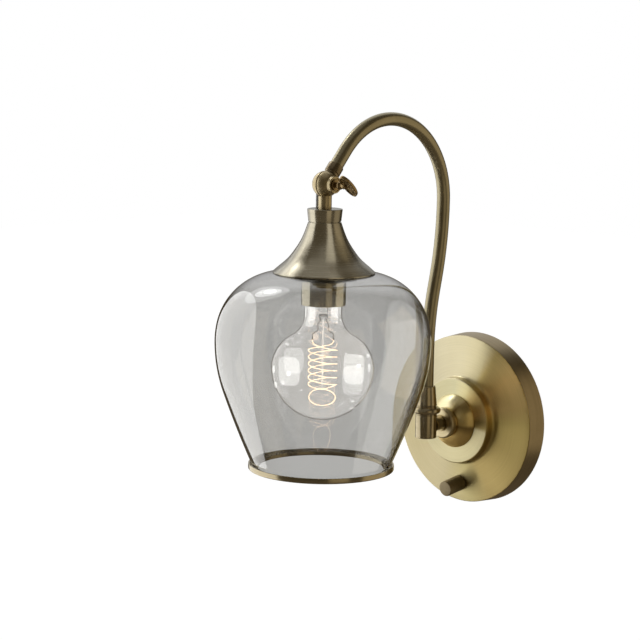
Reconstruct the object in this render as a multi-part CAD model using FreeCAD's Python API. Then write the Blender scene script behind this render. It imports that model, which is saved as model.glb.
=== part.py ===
import FreeCAD, Part

import math
import os

from FreeCAD import Vector

# A swing-arm wall lamp with a clear glass shade, in millimetres.
# The origin is the centre of the wall plate on the wall, the lamp stands out along -Y and +Z is up.
# Depth means the distance from the wall, and drop the distance below the tilt pivot.

# Shared clearances
seat_gap = 0.05        # a piece seated in another of the same body
running_gap = 0.06     # a turning fit
flat_gap = 0.1         # between flat faces that turn on each other
free_gap = 0.35        # between curved faces that pass each other
overrun = 2.0          # how far a cut runs past the face that it opens

# Wall plate: a spun dish with a shallow cone face and a raised disc
plate_radius = 85.1
plate_ridge_radius = 83.7
plate_rim_depth = 21.2
plate_wall = 1.6
plate_slope_deg = 8.0
plate_cove_radius = 3.2
disc_radius = 42.7
disc_depth = 36.6
disc_edge_radius = 1.4

# Strap behind the plate
strap_length = 108.0
strap_width = 24.0
strap_thickness = 2.2
strap_slot_width = 4.8
strap_slot_near = 33.0
strap_slot_far = 46.0
strap_hole_radius = 2.2
strap_hole_reach = 21.0
earth_screw_radius = 2.1
earth_screw_head_radius = 3.9
earth_screw_head_height = 2.4
earth_screw_length = 6.5
earth_screw_slot = 0.9

# Threaded tube that holds the plate and the stem to the strap
nipple_radius = 4.85
nipple_bore_radius = 3.0
nipple_reach = 8.0
lock_nut_flats = 14.0
lock_nut_height = 3.2
lock_washer_radius = 8.2
lock_washer_height = 1.0

# Hub: a turned boss and a collar in front of the raised disc
boss_radius = 26.5
boss_edge_height = 1.3
boss_top_radius = 15.3
boss_height = 11.0
boss_bulge = 0.9
hub_groove_radius = 13.4
hub_groove_height = 2.0
collar_radius = 15.2
collar_height = 6.6
collar_round = 1.6
collar_mouth_radius = 8.6
collar_mouth_depth = 1.2
collar_seat_height = 2.4

# Stem between the hub and the upright knuckle
stem_radius = 6.2
stem_shown_length = 11.7

# Upright swing knuckle
tee_radius = 10.4
tee_bottom = -11.0
tee_top = 12.0
tee_top_wall = 3.4
tee_wall = 2.1
tee_edge = 0.5
tee_plug_thickness = 2.5
tee_plug_recess = 0.4
tee_plug_slot = 1.2

# Swing spindle and its fixings
spindle_radius = 5.0
spindle_bore_radius = 3.2
spindle_bottom = 3.4
spindle_nut_flats = 12.6
spindle_nut_height = 4.0
spindle_washer_radius = 7.6
spindle_washer_height = 0.4

# Rings and ferrule stacked on the knuckle
friction_ring_radius = 10.5
friction_ring_height = 1.2
friction_ring_round = 0.4
bead_ring_radius = 14.0
bead_ring_foot_radius = 11.0
bead_ring_shoulder_radius = 12.8
bead_ring_height = 5.8
ferrule_groove_radius = 10.5
ferrule_groove_height = 0.6
ferrule_flange_radius = 11.4
ferrule_flange_height = 1.8
ferrule_waist_radius = 10.1
ferrule_cove_height = 1.2
ferrule_top_wall = 1.95
ferrule_height = 21.3
ferrule_round = 0.6
ferrule_seat_height = 5.0

# Swan-neck arm, bent from round tube
arm_radius = 6.35
arm_wall = 1.0
arm_straight = 75.0
arm_lean_deg = 13.0
arm_first_bend = 264.0
arm_lean_length = 13.0
arm_second_bend = 330.0
arch_radius = 80.0
arch_turn_deg = 139.0
arch_tail = 39.0

# Tilt knuckle at the end of the arm: two half balls clamped by a thumb screw
ball_radius = 12.1
ball_slit = 1.0
tilt_washer_radius = 10.4
knuckle_collar_wall = 1.05
knuckle_collar_foot_radius = 6.7
knuckle_collar_start = 12.7
knuckle_collar_end = 21.2
knuckle_collar_edge = 0.5
knuckle_collar_floor = 1.1
knuckle_face_radius = 7.8
knuckle_face_reach = 12.5
knuckle_face_edge = 0.5
knuckle_recess_radius = 6.3
knuckle_recess_depth = 0.8
neck_wall = 1.25
neck_drop = 22.4
neck_thread_depth = 6.5

# Thumb screw
screw_radius = 2.4
screw_thread_reach = 5.6
screw_washer_radius = 5.2
screw_washer_height = 1.6
screw_shank_length = 2.1
screw_collar_radius = 4.0
screw_collar_height = 4.4
screw_stem_radius = 3.0
screw_stem_length = 3.6
wing_length = 26.0
wing_width = 13.0
wing_thickness = 3.0
wing_sink = 1.5
wing_rim = 1.4
wing_dish_depth = 0.6
wing_turn_deg = 46.0

# Collar and trumpet cap over the glass
cap_collar_top_radius = 16.3
cap_collar_foot_radius = 15.1
cap_collar_height = 12.2
cap_collar_plate = 2.4
cap_collar_wall = 1.5
cap_collar_edge = 0.6
cap_collar_groove_height = 0.8
cap_collar_groove_depth = 0.9
cap_height = 45.7
cap_top_radius = 15.2
cap_lip_radius = 47.0
cap_wall = 1.2
cap_lip_edge = 1.0
# Radius past the top radius, and height under the top, as shares of the flare and the cap's height
cap_flare_shares = ((0.0, 0.0), (0.072, 0.147), (0.204, 0.365), (0.38, 0.562), (0.575, 0.737), (0.825, 0.891), (1.0, 1.0))
head_nipple_radius = 4.85
head_nipple_bore_radius = 3.1
head_nipple_reach = 3.0
cap_nut_flats = 13.0
cap_nut_height = 4.5

# Glass shade, a tulip blown shape of four arcs
glass_thickness = 2.2
glass_belly_radius = 99.7
glass_upper_belly_bend = 80.0
glass_upper_belly_deg = 12.0
glass_shoulder_bend = 60.0
glass_lower_belly_bend = 140.0
glass_lower_belly_deg = 19.5
glass_skirt_bend = 950.0
glass_skirt_height = 117.6
glass_hole_gap = 1.1

# Trim ring under the glass
ring_outer_gap = 2.9
ring_inner_gap = 0.6
ring_wall = 1.5
ring_height = 5.0
ring_floor = 1.3
ring_lip_height = 3.6
ring_round = 0.5

# Lamp holder, clamped in the top of the glass by a shade ring
holder_radius = 20.4
holder_skirt_length = 23.5
holder_wall = 1.1
holder_step = 0.8
holder_thread_height = 9.5
shade_ring_radius = 30.0
shade_ring_height = 3.2
shade_ring_step = 1.0
shade_gasket_radius = 27.0
shade_gasket_height = 0.5
shade_gasket_gap = 0.15
dome_height = 16.0
dome_neck_radius = 7.0
dome_neck_height = 4.5
dome_wall = 1.2
insert_height = 23.0
insert_web = 6.0
insert_recess_radius = 8.0
insert_recess_depth = 1.6
shell_gap = 0.8
shell_wall = 0.5
shell_height = 22.5
contact_radius = 5.0
contact_thickness = 0.6
contact_slot = 3.2

# Globe bulb
bulb_radius = 47.5
bulb_length = 134.2
bulb_wall = 0.9
bulb_shoulder_bend = 34.0
bulb_waist_bend = 24.0
bulb_neck_radius = 17.3
bulb_cap_radius = 13.1
bulb_cap_wall = 0.4
bulb_cap_height = 19.0
bulb_cap_shoulder = 3.0
bulb_cap_top_radius = 9.0
bulb_throat_height = 5.0
bulb_insulator_height = 2.0
bulb_insulator_radius = 6.0
bulb_contact_radius = 4.6
bulb_contact_height = 1.0
bulb_contact_edge = 0.6
bulb_turn_deg = 43.8

# Glass mount inside the bulb
stem_flare_height = 8.0
stem_tube_radius = 4.2
stem_tube_height = 11.5
stem_pinch_width = 9.0
stem_pinch_thickness = 3.4
stem_pinch_height = 5.5
rod_radius = 0.9
rod_length = 62.5
rod_button_radius = 1.05
rod_button_height = 2.4

# Filament: two interleaved descending spirals joined by a hanging loop
filament_radius = 0.3
filament_coil_radius = 13.2
filament_pitch = 12.8
filament_quarters = 10
filament_top = 16.7
filament_lead_in_drop = 3.0
filament_lead_in_offset = 4.0
filament_hook_drop = 4.5
filament_hook_offset = 1.4
filament_loop_radius = 12.2
filament_loop_tilt_deg = 26.6
filament_climb_share = 0.154
support_radius = 0.4
support_inner = 2.5
support_outer = 4.8
support_end = 9.6
support_bend = 1.8
support_root = 3.0
support_spread = 4.0
support_fall = 5.4
support_sweep = 4.0
support_tail = 3.2
crimp_radius = 0.75
crimp_height = 2.4

# Flexible lead inside the lamp
lead_radius = 1.7
lead_hole_gap = 0.4
lead_turn_radius = 6.0
lead_tee_top = 6.0
lead_side = 9.4
lead_gap = 0.4
lead_knuckle_start = 17.0
lead_knuckle_bend = 4.0
lead_knuckle_drop = 2.0

# Rotary switch behind the plate, and its knob
knob_place = 64.6
knob_radius = 7.7
knob_length = 22.9
knob_edge = 0.8
knob_lift = 0.6
knob_recess_radius = 6.6
knob_recess_depth = 4.2
knob_bore_depth = 15.0
shaft_radius = 2.95
shaft_flat = 1.2
bush_radius = 4.7
bush_reach = 3.6
switch_nut_flats = 11.4
switch_nut_height = 1.9
switch_length = 20.0
switch_width = 15.0
switch_depth = 12.0
switch_round = 2.0
switch_wire_radius = 1.0
switch_wire_spacing = 7.0
switch_wire_stub = 3.0
switch_wire_bend = 3.5
switch_wire_rise = 42.0


# Depths of the hub's pieces and of the swing axis
boss_top_depth = disc_depth + boss_height
collar_start_depth = boss_top_depth + hub_groove_height
collar_end_depth = collar_start_depth + collar_height
collar_seat_depth = collar_start_depth + collar_seat_height
swing_depth = collar_end_depth + stem_shown_length + tee_radius


def polar(radius, degrees):
    angle = math.radians(degrees)
    return radius * math.cos(angle), radius * math.sin(angle)


class Outline:
    """A closed outline of radius and height, to be turned about the height axis."""

    def __init__(self, radius, height):
        self.start = (radius, height)
        self.here = self.start
        self.edges = []

    def line(self, radius, height):
        if math.dist(self.here, (radius, height)) > seat_gap * seat_gap:
            self.edges.append(Part.makeLine(self.point(self.here), self.point((radius, height))))
            self.here = (radius, height)
        return self

    def arc(self, via_radius, via_height, radius, height):
        curve = Part.Arc(self.point(self.here), Vector(via_radius, 0, via_height), Vector(radius, 0, height))
        self.edges.append(curve.toShape())
        self.here = (radius, height)
        return self

    def bend(self, centre, radius, start_deg, end_deg):
        """An arc about a centre, which starts with a line to its first point if need be."""
        first = polar(radius, start_deg)
        middle = polar(radius, (start_deg + end_deg) / 2)
        last = polar(radius, end_deg)
        self.line(centre[0] + first[0], centre[1] + first[1])
        return self.arc(centre[0] + middle[0], centre[1] + middle[1], centre[0] + last[0], centre[1] + last[1])

    def spline(self, points):
        curve = Part.BSplineCurve()
        curve.interpolate([self.point(place) for place in points])
        self.edges.append(curve.toShape())
        self.here = points[-1]
        return self

    def point(self, place):
        return Vector(place[0], 0, place[1])

    def turned(self):
        self.line(*self.start)
        return Part.Face(Part.Wire(self.edges)).revolve(Vector(0, 0, 0), Vector(0, 0, 1), 360)


def stand(shape, base, direction):
    """Moves a shape so that its origin goes to base and its height axis points along direction."""
    moved = shape.copy()
    moved.Placement = FreeCAD.Placement(base, FreeCAD.Rotation(Vector(0, 0, 1), direction)).multiply(shape.Placement)
    return moved


def out_of_wall(shape):
    return stand(shape, Vector(0, 0, 0), Vector(0, -1, 0))


def at_swing_axis(shape):
    return stand(shape, Vector(0, -swing_depth, 0), Vector(0, 0, 1))


def at_head_axis(shape):
    """Places a shape whose height is measured from the pivot, upwards, on the shade's axis."""
    return stand(shape, PIVOT, Vector(0, 0, 1))


def tube(radius, bore, low, high):
    outer = Part.makeCylinder(radius, high - low, Vector(0, 0, low))
    return outer.cut(Part.makeCylinder(bore, high - low + 2 * overrun, Vector(0, 0, low - overrun)))


def rod(radius, low, high, x=0, y=0):
    return Part.makeCylinder(radius, high - low, Vector(x, y, low))


def hex_nut(flats, bore, low, height):
    corner = flats / 2 / math.cos(math.radians(30))
    corners = [Vector(*polar(corner, 30 + 60 * side), low) for side in range(7)]
    body = Part.Face(Part.makePolygon(corners)).extrude(Vector(0, 0, height))
    return body.cut(rod(bore, low - overrun, low + height + overrun))


def rounded_path(points, bends):
    """A wire of straight runs joined by tangent arcs, one radius for each inner point."""
    edges = []
    here = points[0]
    for before, corner, after, radius in zip(points, points[1:], points[2:], bends):
        inward = (before - corner).normalize()
        outward = (after - corner).normalize()
        half = inward.getAngle(outward) / 2
        reach = radius / math.tan(half)
        start = corner + inward * reach
        end = corner + outward * reach
        middle = corner + (inward + outward).normalize() * (radius / math.sin(half) - radius)
        if (start - here).Length > seat_gap * seat_gap:
            edges.append(Part.makeLine(here, start))
        edges.append(Part.Arc(start, middle, end).toShape())
        here = end
    edges.append(Part.makeLine(here, points[-1]))
    return edges


def sweep_round(edges, radius):
    """A round bar along edges that follow each other."""
    wire = Part.Wire(edges)
    first = edges[0]
    circle = Part.makeCircle(radius, first.valueAt(first.FirstParameter), first.tangentAt(first.FirstParameter))
    return wire.makePipeShell([Part.Wire(circle)], True, False)


def arm_path(start_height):
    """Centre line of the arm from a height above the stem to its end, and the direction back along the end."""
    plane_x = Vector(1, 0, 0)
    here = Vector(0, -swing_depth, start_height)
    heading = Vector(0, 0, 1)
    edges = []
    runs = (
        ("straight", arm_straight - start_height, 0),
        ("bend", arm_first_bend, -arm_lean_deg),
        ("straight", arm_lean_length, 0),
        ("bend", arm_second_bend, arm_lean_deg),
        ("bend", arch_radius, arch_turn_deg),
        ("straight", arch_tail, 0),
    )
    for kind, size, turn_deg in runs:
        if kind == "straight":
            end = here + heading * size
            edges.append(Part.makeLine(here, end))
        else:
            side = plane_x.cross(heading) * math.copysign(1, turn_deg)
            centre = here + side * size
            half_turn = FreeCAD.Rotation(plane_x, turn_deg / 2)
            middle = centre + half_turn.multVec(here - centre)
            end = centre + half_turn.multVec(middle - centre)
            heading = half_turn.multVec(half_turn.multVec(heading))
            edges.append(Part.Arc(here, middle, end).toShape())
        here = end
    return edges, here, heading * -1


PIVOT = arm_path(0)[1]
ARM_END_DIRECTION = arm_path(0)[2]


def trimmed_arm_path(start_height, short_of_pivot):
    """The arm's centre line, ended a distance before the pivot."""
    edges = arm_path(start_height)[0]
    start = edges[-1].valueAt(edges[-1].FirstParameter)
    edges[-1] = Part.makeLine(start, PIVOT + ARM_END_DIRECTION * short_of_pivot)
    return edges


# Sizes that follow from the named ones
nipple_depth = collar_seat_depth + nipple_reach
stem_bore_radius = nipple_radius + seat_gap
tee_bore_radius = tee_radius - tee_wall
ferrule_top_radius = arm_radius + ferrule_top_wall
knuckle_collar_radius = arm_radius + knuckle_collar_wall
knuckle_bore_start = knuckle_collar_start + knuckle_collar_floor
neck_radius = head_nipple_radius + neck_wall
holder_thread_radius = holder_radius - holder_step
glass_hole_radius = holder_thread_radius + glass_hole_gap
shell_radius = bulb_cap_radius + shell_gap + shell_wall


# Wall plate and its fixing

def face_depth(radius):
    """Depth of the plate's cone face at a radius."""
    return plate_rim_depth + (plate_ridge_radius - radius) * math.tan(math.radians(plate_slope_deg))


KNOB_AXIS = Vector(0, -math.cos(math.radians(plate_slope_deg)), -math.sin(math.radians(plate_slope_deg)))
KNOB_BASE = Vector(0, -face_depth(knob_place), -knob_place)


def make_back_plate():
    cove_radius = disc_radius + plate_cove_radius
    cove = (cove_radius, face_depth(cove_radius) + plate_cove_radius / math.cos(math.radians(plate_slope_deg)))
    skin = plate_wall / math.cos(math.radians(plate_slope_deg))
    inner_ridge = plate_ridge_radius - plate_wall
    inner_disc = disc_radius - plate_wall
    centre_hole = nipple_radius + seat_gap
    outline = Outline(centre_hole, disc_depth - plate_wall)
    outline.line(centre_hole, disc_depth)
    outline.bend((disc_radius - disc_edge_radius, disc_depth - disc_edge_radius), disc_edge_radius, 90, 0)
    outline.bend(cove, plate_cove_radius, 180, 270 - plate_slope_deg)
    outline.line(plate_ridge_radius, plate_rim_depth)
    outline.line(plate_radius, 0)
    outline.line(plate_radius - plate_wall, 0)
    outline.line(inner_ridge, face_depth(inner_ridge) - skin)
    outline.line(inner_disc, face_depth(inner_disc) - skin)
    outline.line(inner_disc, disc_depth - plate_wall)
    plate = out_of_wall(outline.turned())
    bush_hole = stand(rod(bush_radius + seat_gap, -plate_wall - overrun, overrun), KNOB_BASE, KNOB_AXIS)
    return plate.cut(bush_hole)


def slot_cut(near, far, width, height):
    radius = width / 2
    box = Part.makeBox(far - near, width, height, Vector(near, -radius, 0))
    return box.fuse([Part.makeCylinder(radius, height, Vector(end, 0, 0)) for end in (near, far)])


def make_mounting_strap():
    half = strap_length / 2
    end_radius = strap_width / 2
    body = Part.makeBox(strap_length - strap_width, strap_width, strap_thickness, Vector(end_radius - half, -end_radius, 0))
    for side in (-1, 1):
        body = body.fuse(Part.makeCylinder(end_radius, strap_thickness, Vector(side * (half - end_radius), 0, 0)))
    slot = slot_cut(strap_slot_near, strap_slot_far, strap_slot_width, strap_thickness + 2 * overrun)
    slot.translate(Vector(0, 0, -overrun))
    body = body.cut(slot).cut(slot.mirror(Vector(0, 0, 0), Vector(1, 0, 0)))
    body = body.cut(rod(nipple_radius + seat_gap, -overrun, strap_thickness + overrun))
    body = body.cut(rod(strap_hole_radius, -overrun, strap_thickness + overrun, strap_hole_reach))
    body = body.cut(rod(earth_screw_radius + seat_gap, -overrun, strap_thickness + overrun, -strap_hole_reach))
    return out_of_wall(body.removeSplitter())


def make_earth_screw():
    seat = strap_thickness
    tip = seat - min(earth_screw_length, strap_thickness)
    shank = rod(earth_screw_radius, tip, seat, -strap_hole_reach)
    head = rod(earth_screw_head_radius, seat, seat + earth_screw_head_height, -strap_hole_reach)
    slot = Part.makeBox(2 * earth_screw_head_radius, earth_screw_slot, earth_screw_head_height,
                        Vector(-strap_hole_reach - earth_screw_head_radius, -earth_screw_slot / 2,
                               seat + earth_screw_head_height / 2))
    return out_of_wall(shank.fuse(head).removeSplitter().cut(slot))


def make_hub_nipple():
    return out_of_wall(tube(nipple_radius, nipple_bore_radius, 0, nipple_depth))


def hub_stack():
    """Depths where the washer and nut behind the disc start, and the one on the strap."""
    washer_depth = disc_depth - plate_wall - lock_washer_height
    return washer_depth, washer_depth - lock_nut_height, strap_thickness


def make_lock_nuts():
    bore = nipple_radius + seat_gap
    starts = hub_stack()
    nuts = [hex_nut(lock_nut_flats, bore, start, lock_nut_height) for start in starts[1:]]
    return out_of_wall(Part.makeCompound(nuts))


def make_lock_washer():
    start = hub_stack()[0]
    return out_of_wall(tube(lock_washer_radius, nipple_radius + seat_gap, start, start + lock_washer_height))


def make_hub_boss():
    hole = nipple_radius + seat_gap
    rise_start = disc_depth + boss_edge_height
    middle_radius = (boss_radius + boss_top_radius) / 2 + boss_bulge
    middle_depth = (rise_start + boss_top_depth) / 2 + boss_bulge
    outline = Outline(hole, disc_depth)
    outline.line(boss_radius, disc_depth)
    outline.line(boss_radius, rise_start)
    outline.arc(middle_radius, middle_depth, boss_top_radius, boss_top_depth)
    outline.line(hub_groove_radius, boss_top_depth)
    outline.line(hub_groove_radius, collar_start_depth)
    outline.line(hole, collar_start_depth)
    return out_of_wall(outline.turned())


def make_hub_collar():
    hole = nipple_radius + seat_gap
    stem_hole = stem_radius + seat_gap
    low = collar_start_depth
    high = collar_end_depth
    outline = Outline(hole, low)
    outline.bend((collar_radius - collar_round, low + collar_round), collar_round, -90, 0)
    outline.bend((collar_radius - collar_round, high - collar_round), collar_round, 0, 90)
    outline.line(collar_mouth_radius, high)
    outline.line(stem_hole, high - collar_mouth_depth)
    outline.line(stem_hole, collar_seat_depth)
    outline.line(hole, collar_seat_depth)
    return out_of_wall(outline.turned())


def make_stem():
    bar = tube(stem_radius, stem_bore_radius, collar_seat_depth, swing_depth)
    return out_of_wall(bar).cut(at_swing_axis(rod(tee_bore_radius, tee_bottom, tee_top)))


# Swing knuckle

def make_tee_body():
    spindle_hole = spindle_radius + running_gap
    outline = Outline(tee_bore_radius, tee_bottom)
    outline.line(tee_radius - tee_edge, tee_bottom)
    outline.line(tee_radius, tee_bottom + tee_edge)
    outline.line(tee_radius, tee_top - tee_edge)
    outline.line(tee_radius - tee_edge, tee_top)
    outline.line(spindle_hole, tee_top)
    outline.line(spindle_hole, tee_top - tee_top_wall)
    outline.line(tee_bore_radius, tee_top - tee_top_wall)
    stem_hole = out_of_wall(rod(stem_radius + seat_gap, collar_end_depth, swing_depth))
    return at_swing_axis(outline.turned()).cut(stem_hole)


def make_tee_plug():
    low = tee_bottom + tee_plug_recess
    plug = rod(tee_bore_radius - seat_gap, low, low + tee_plug_thickness)
    slot = Part.makeBox(4 * tee_bore_radius, tee_plug_slot, tee_plug_thickness / 2 + overrun,
                        Vector(-2 * tee_bore_radius, -tee_plug_slot / 2, low - overrun))
    return at_swing_axis(plug.cut(slot))


FRICTION_LOW = tee_top + flat_gap
FRICTION_HIGH = FRICTION_LOW + friction_ring_height
BEAD_HIGH = FRICTION_HIGH + bead_ring_height
FERRULE_HIGH = BEAD_HIGH + ferrule_height
TUBE_START = BEAD_HIGH + ferrule_seat_height


def make_friction_ring():
    hole = spindle_radius + seat_gap
    edge = friction_ring_round
    outline = Outline(hole, FRICTION_LOW)
    outline.bend((friction_ring_radius - edge, FRICTION_LOW + edge), edge, -90, 0)
    outline.bend((friction_ring_radius - edge, FRICTION_HIGH - edge), edge, 0, 90)
    outline.line(hole, FRICTION_HIGH)
    return at_swing_axis(outline.turned())


def make_bead_ring():
    hole = spindle_radius + seat_gap
    low = FRICTION_HIGH
    outline = Outline(hole, low)
    outline.line(bead_ring_foot_radius, low)
    outline.arc(bead_ring_radius, low + bead_ring_height / 2, bead_ring_shoulder_radius, BEAD_HIGH)
    outline.line(hole, BEAD_HIGH)
    return at_swing_axis(outline.turned())


def make_arm_ferrule():
    low = BEAD_HIGH
    flange_low = low + ferrule_groove_height
    flange_high = flange_low + ferrule_flange_height
    cove_high = flange_high + ferrule_cove_height
    spindle_hole = spindle_radius + seat_gap
    tube_hole = arm_radius + seat_gap
    flange_half = ferrule_flange_height / 2
    outline = Outline(spindle_hole, low)
    outline.line(ferrule_groove_radius, low)
    outline.line(ferrule_groove_radius, flange_low)
    outline.arc(ferrule_flange_radius, flange_low + flange_half, ferrule_groove_radius, flange_high)
    outline.line(ferrule_waist_radius, cove_high)
    outline.line(ferrule_top_radius, FERRULE_HIGH - ferrule_round)
    outline.line(ferrule_top_radius - ferrule_round, FERRULE_HIGH)
    outline.line(tube_hole, FERRULE_HIGH)
    outline.line(tube_hole, TUBE_START)
    outline.line(spindle_hole, TUBE_START)
    return at_swing_axis(outline.turned())


def make_pivot_spindle():
    return at_swing_axis(tube(spindle_radius, spindle_bore_radius, spindle_bottom, TUBE_START))


def spindle_washer_low():
    return tee_top - tee_top_wall - flat_gap - spindle_washer_height


def make_spindle_washer():
    low = spindle_washer_low()
    return at_swing_axis(tube(spindle_washer_radius, spindle_radius + seat_gap, low, low + spindle_washer_height))


def make_spindle_nut():
    low = spindle_washer_low() - spindle_nut_height
    return at_swing_axis(hex_nut(spindle_nut_flats, spindle_radius + seat_gap, low, spindle_nut_height))


def make_arm_tube():
    edges = trimmed_arm_path(TUBE_START, knuckle_bore_start + seat_gap)
    return sweep_round(edges, arm_radius).cut(sweep_round(edges, arm_radius - arm_wall))


# Tilt knuckle

def lead_exit_drop():
    """Drop of the lead's end just outside the half ball."""
    inner_side = lead_side - lead_radius
    return math.sqrt(ball_radius ** 2 - inner_side ** 2)


def knuckle_lead_points():
    """The lead's way out of the arm and round the screw to the underside of the half ball."""
    return [
        PIVOT + ARM_END_DIRECTION * lead_knuckle_start,
        PIVOT + Vector(-lead_side, 0, -lead_knuckle_drop),
        PIVOT + Vector(-lead_side, 0, -lead_exit_drop()),
    ]


def ball_side(sign, reach):
    """One side of the ball beyond half the slit."""
    block = Part.makeBox(reach, 4 * reach, 4 * reach, Vector(ball_slit / 2, -2 * reach, -2 * reach))
    ball = Part.makeSphere(ball_radius).common(block)
    if sign < 0:
        ball = ball.mirror(Vector(0, 0, 0), Vector(1, 0, 0))
    return ball


def clear_of_ball(shape, sign):
    """Cuts away what comes near the other side of the ball, on that side and in the slit."""
    reach = 4 * ball_radius
    corner = -ball_slit / 2 if sign > 0 else ball_slit / 2 - reach
    block = Part.makeBox(reach, reach, reach, Vector(corner, -reach / 2, -reach / 2))
    return shape.cut(Part.makeSphere(ball_radius + free_gap).common(block))


def make_upper_knuckle():
    outline = Outline(0, 0)
    outline.line(knuckle_collar_foot_radius, 0)
    outline.line(knuckle_collar_foot_radius, knuckle_collar_start)
    outline.line(knuckle_collar_radius, knuckle_collar_start)
    outline.line(knuckle_collar_radius, knuckle_collar_end - knuckle_collar_edge)
    outline.line(knuckle_collar_radius - knuckle_collar_edge, knuckle_collar_end)
    outline.line(0, knuckle_collar_end)
    collar = clear_of_ball(stand(outline.turned(), Vector(0, 0, 0), ARM_END_DIRECTION), 1)
    body = collar.fuse(ball_side(-1, ball_radius))
    bore = rod(arm_radius + seat_gap, knuckle_bore_start, knuckle_collar_end + overrun)
    body = body.cut(stand(bore, Vector(0, 0, 0), ARM_END_DIRECTION))
    screw_hole = rod(screw_radius + seat_gap, -screw_thread_reach - seat_gap, 0)
    body = body.cut(stand(screw_hole, Vector(0, 0, 0), Vector(1, 0, 0)))
    points = knuckle_lead_points()
    points[2] = points[2] - Vector(0, 0, ball_radius)
    channel = sweep_round(rounded_path(points, [lead_knuckle_bend]), lead_radius + lead_hole_gap)
    body.translate(PIVOT)
    return body.cut(channel)


def make_tilt_washer():
    low = -ball_slit / 2
    washer = tube(tilt_washer_radius, screw_radius + running_gap, low, low + ball_slit - flat_gap)
    return stand(washer, PIVOT, Vector(1, 0, 0))


def make_lower_knuckle():
    neck = clear_of_ball(rod(neck_radius, -neck_drop, 0), -1)
    neck = neck.cut(rod(head_nipple_radius + seat_gap, -neck_drop - overrun, neck_thread_depth - neck_drop))
    edge = knuckle_face_edge
    face = Outline(0, 0)
    face.line(knuckle_face_radius, 0)
    face.line(knuckle_face_radius, knuckle_face_reach - edge)
    face.line(knuckle_face_radius - edge, knuckle_face_reach)
    face.line(knuckle_recess_radius, knuckle_face_reach)
    face.line(knuckle_recess_radius, knuckle_face_reach - knuckle_recess_depth)
    face.line(0, knuckle_face_reach - knuckle_recess_depth)
    boss = stand(face.turned(), Vector(ball_slit / 2, 0, 0), Vector(1, 0, 0))
    body = neck.fuse([ball_side(1, ball_radius), boss])
    hole = rod(screw_radius + running_gap, -ball_radius, knuckle_face_reach + overrun)
    body = body.cut(stand(hole, Vector(0, 0, 0), Vector(1, 0, 0)))
    body.translate(PIVOT)
    return body


# Thumb screw

def screw_stack():
    """Distances along the screw: washer, collar, its far side, stem end and wing centre."""
    washer = ball_slit / 2 + knuckle_face_reach - knuckle_recess_depth + flat_gap
    collar = washer + screw_washer_height + screw_shank_length
    collar_end = collar + screw_collar_height
    stem = collar_end + screw_stem_length
    return washer, collar, collar_end, stem, stem - wing_sink + wing_width / 2


def oval(length, width, height):
    ellipse = Part.Ellipse(Vector(0, 0, height), length / 2, width / 2)
    return Part.Wire(ellipse.toShape())


def make_wing():
    """An oval plate across the screw, dished on both faces."""
    half = wing_thickness / 2
    plate = Part.Face(oval(wing_length, wing_width, -half)).extrude(Vector(0, 0, wing_thickness))
    for side in (-1, 1):
        floor = oval(wing_length - 2 * wing_rim, wing_width - 2 * wing_rim, side * (half - wing_dish_depth))
        plate = plate.cut(Part.Face(floor).extrude(Vector(0, 0, side * overrun)))
    return plate


def make_thumb_screw():
    washer, collar, collar_end, stem, wing_centre = screw_stack()
    outline = Outline(0, -screw_thread_reach)
    outline.line(screw_radius, -screw_thread_reach)
    outline.line(screw_radius, collar)
    outline.arc(screw_collar_radius, (collar + collar_end) / 2, screw_stem_radius, collar_end)
    outline.line(screw_stem_radius, stem)
    outline.line(0, stem)
    wing = make_wing()
    wing.rotate(Vector(0, 0, 0), Vector(1, 0, 0), 90)
    wing.translate(Vector(0, 0, wing_centre))
    screw = stand(outline.turned().fuse(wing), Vector(0, 0, 0), Vector(1, 0, 0))
    screw.rotate(Vector(0, 0, 0), Vector(1, 0, 0), wing_turn_deg)
    screw.translate(PIVOT)
    return screw


def make_screw_washer():
    start = screw_stack()[0]
    washer = tube(screw_washer_radius, screw_radius + seat_gap, start, start + screw_washer_height)
    return stand(washer, PIVOT, Vector(1, 0, 0))


# Cap over the glass, heights from the pivot

CAP_TOP = -neck_drop - cap_collar_height
LIP_LOW = CAP_TOP - cap_height - cap_lip_edge
LIP_SEAT_RADIUS = cap_lip_radius - cap_wall


def lead_hole(low, high):
    return rod(lead_radius + lead_hole_gap, low, high, -lead_side)


def make_cap_collar():
    high = -neck_drop
    low = CAP_TOP
    hole = head_nipple_radius + seat_gap
    groove = cap_collar_foot_radius - cap_collar_groove_depth
    outline = Outline(hole, high)
    outline.line(cap_collar_top_radius - cap_collar_edge, high)
    outline.line(cap_collar_top_radius, high - cap_collar_edge)
    outline.line(cap_collar_foot_radius, low + cap_collar_groove_height)
    outline.line(groove, low + cap_collar_groove_height)
    outline.line(groove, low)
    outline.line(groove - cap_collar_wall, low)
    outline.line(groove - cap_collar_wall, high - cap_collar_plate)
    outline.line(hole, high - cap_collar_plate)
    return at_head_axis(outline.turned().cut(lead_hole(low - overrun, high + overrun)))


def inset(points, distance):
    """The points of an outline moved square to it, towards the axis side."""
    moved = []
    for index, here in enumerate(points):
        before = points[max(index - 1, 0)]
        after = points[min(index + 1, len(points) - 1)]
        step = (after[0] - before[0], after[1] - before[1])
        length = math.hypot(*step)
        moved.append((here[0] + distance * step[1] / length, here[1] - distance * step[0] / length))
    return moved


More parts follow.
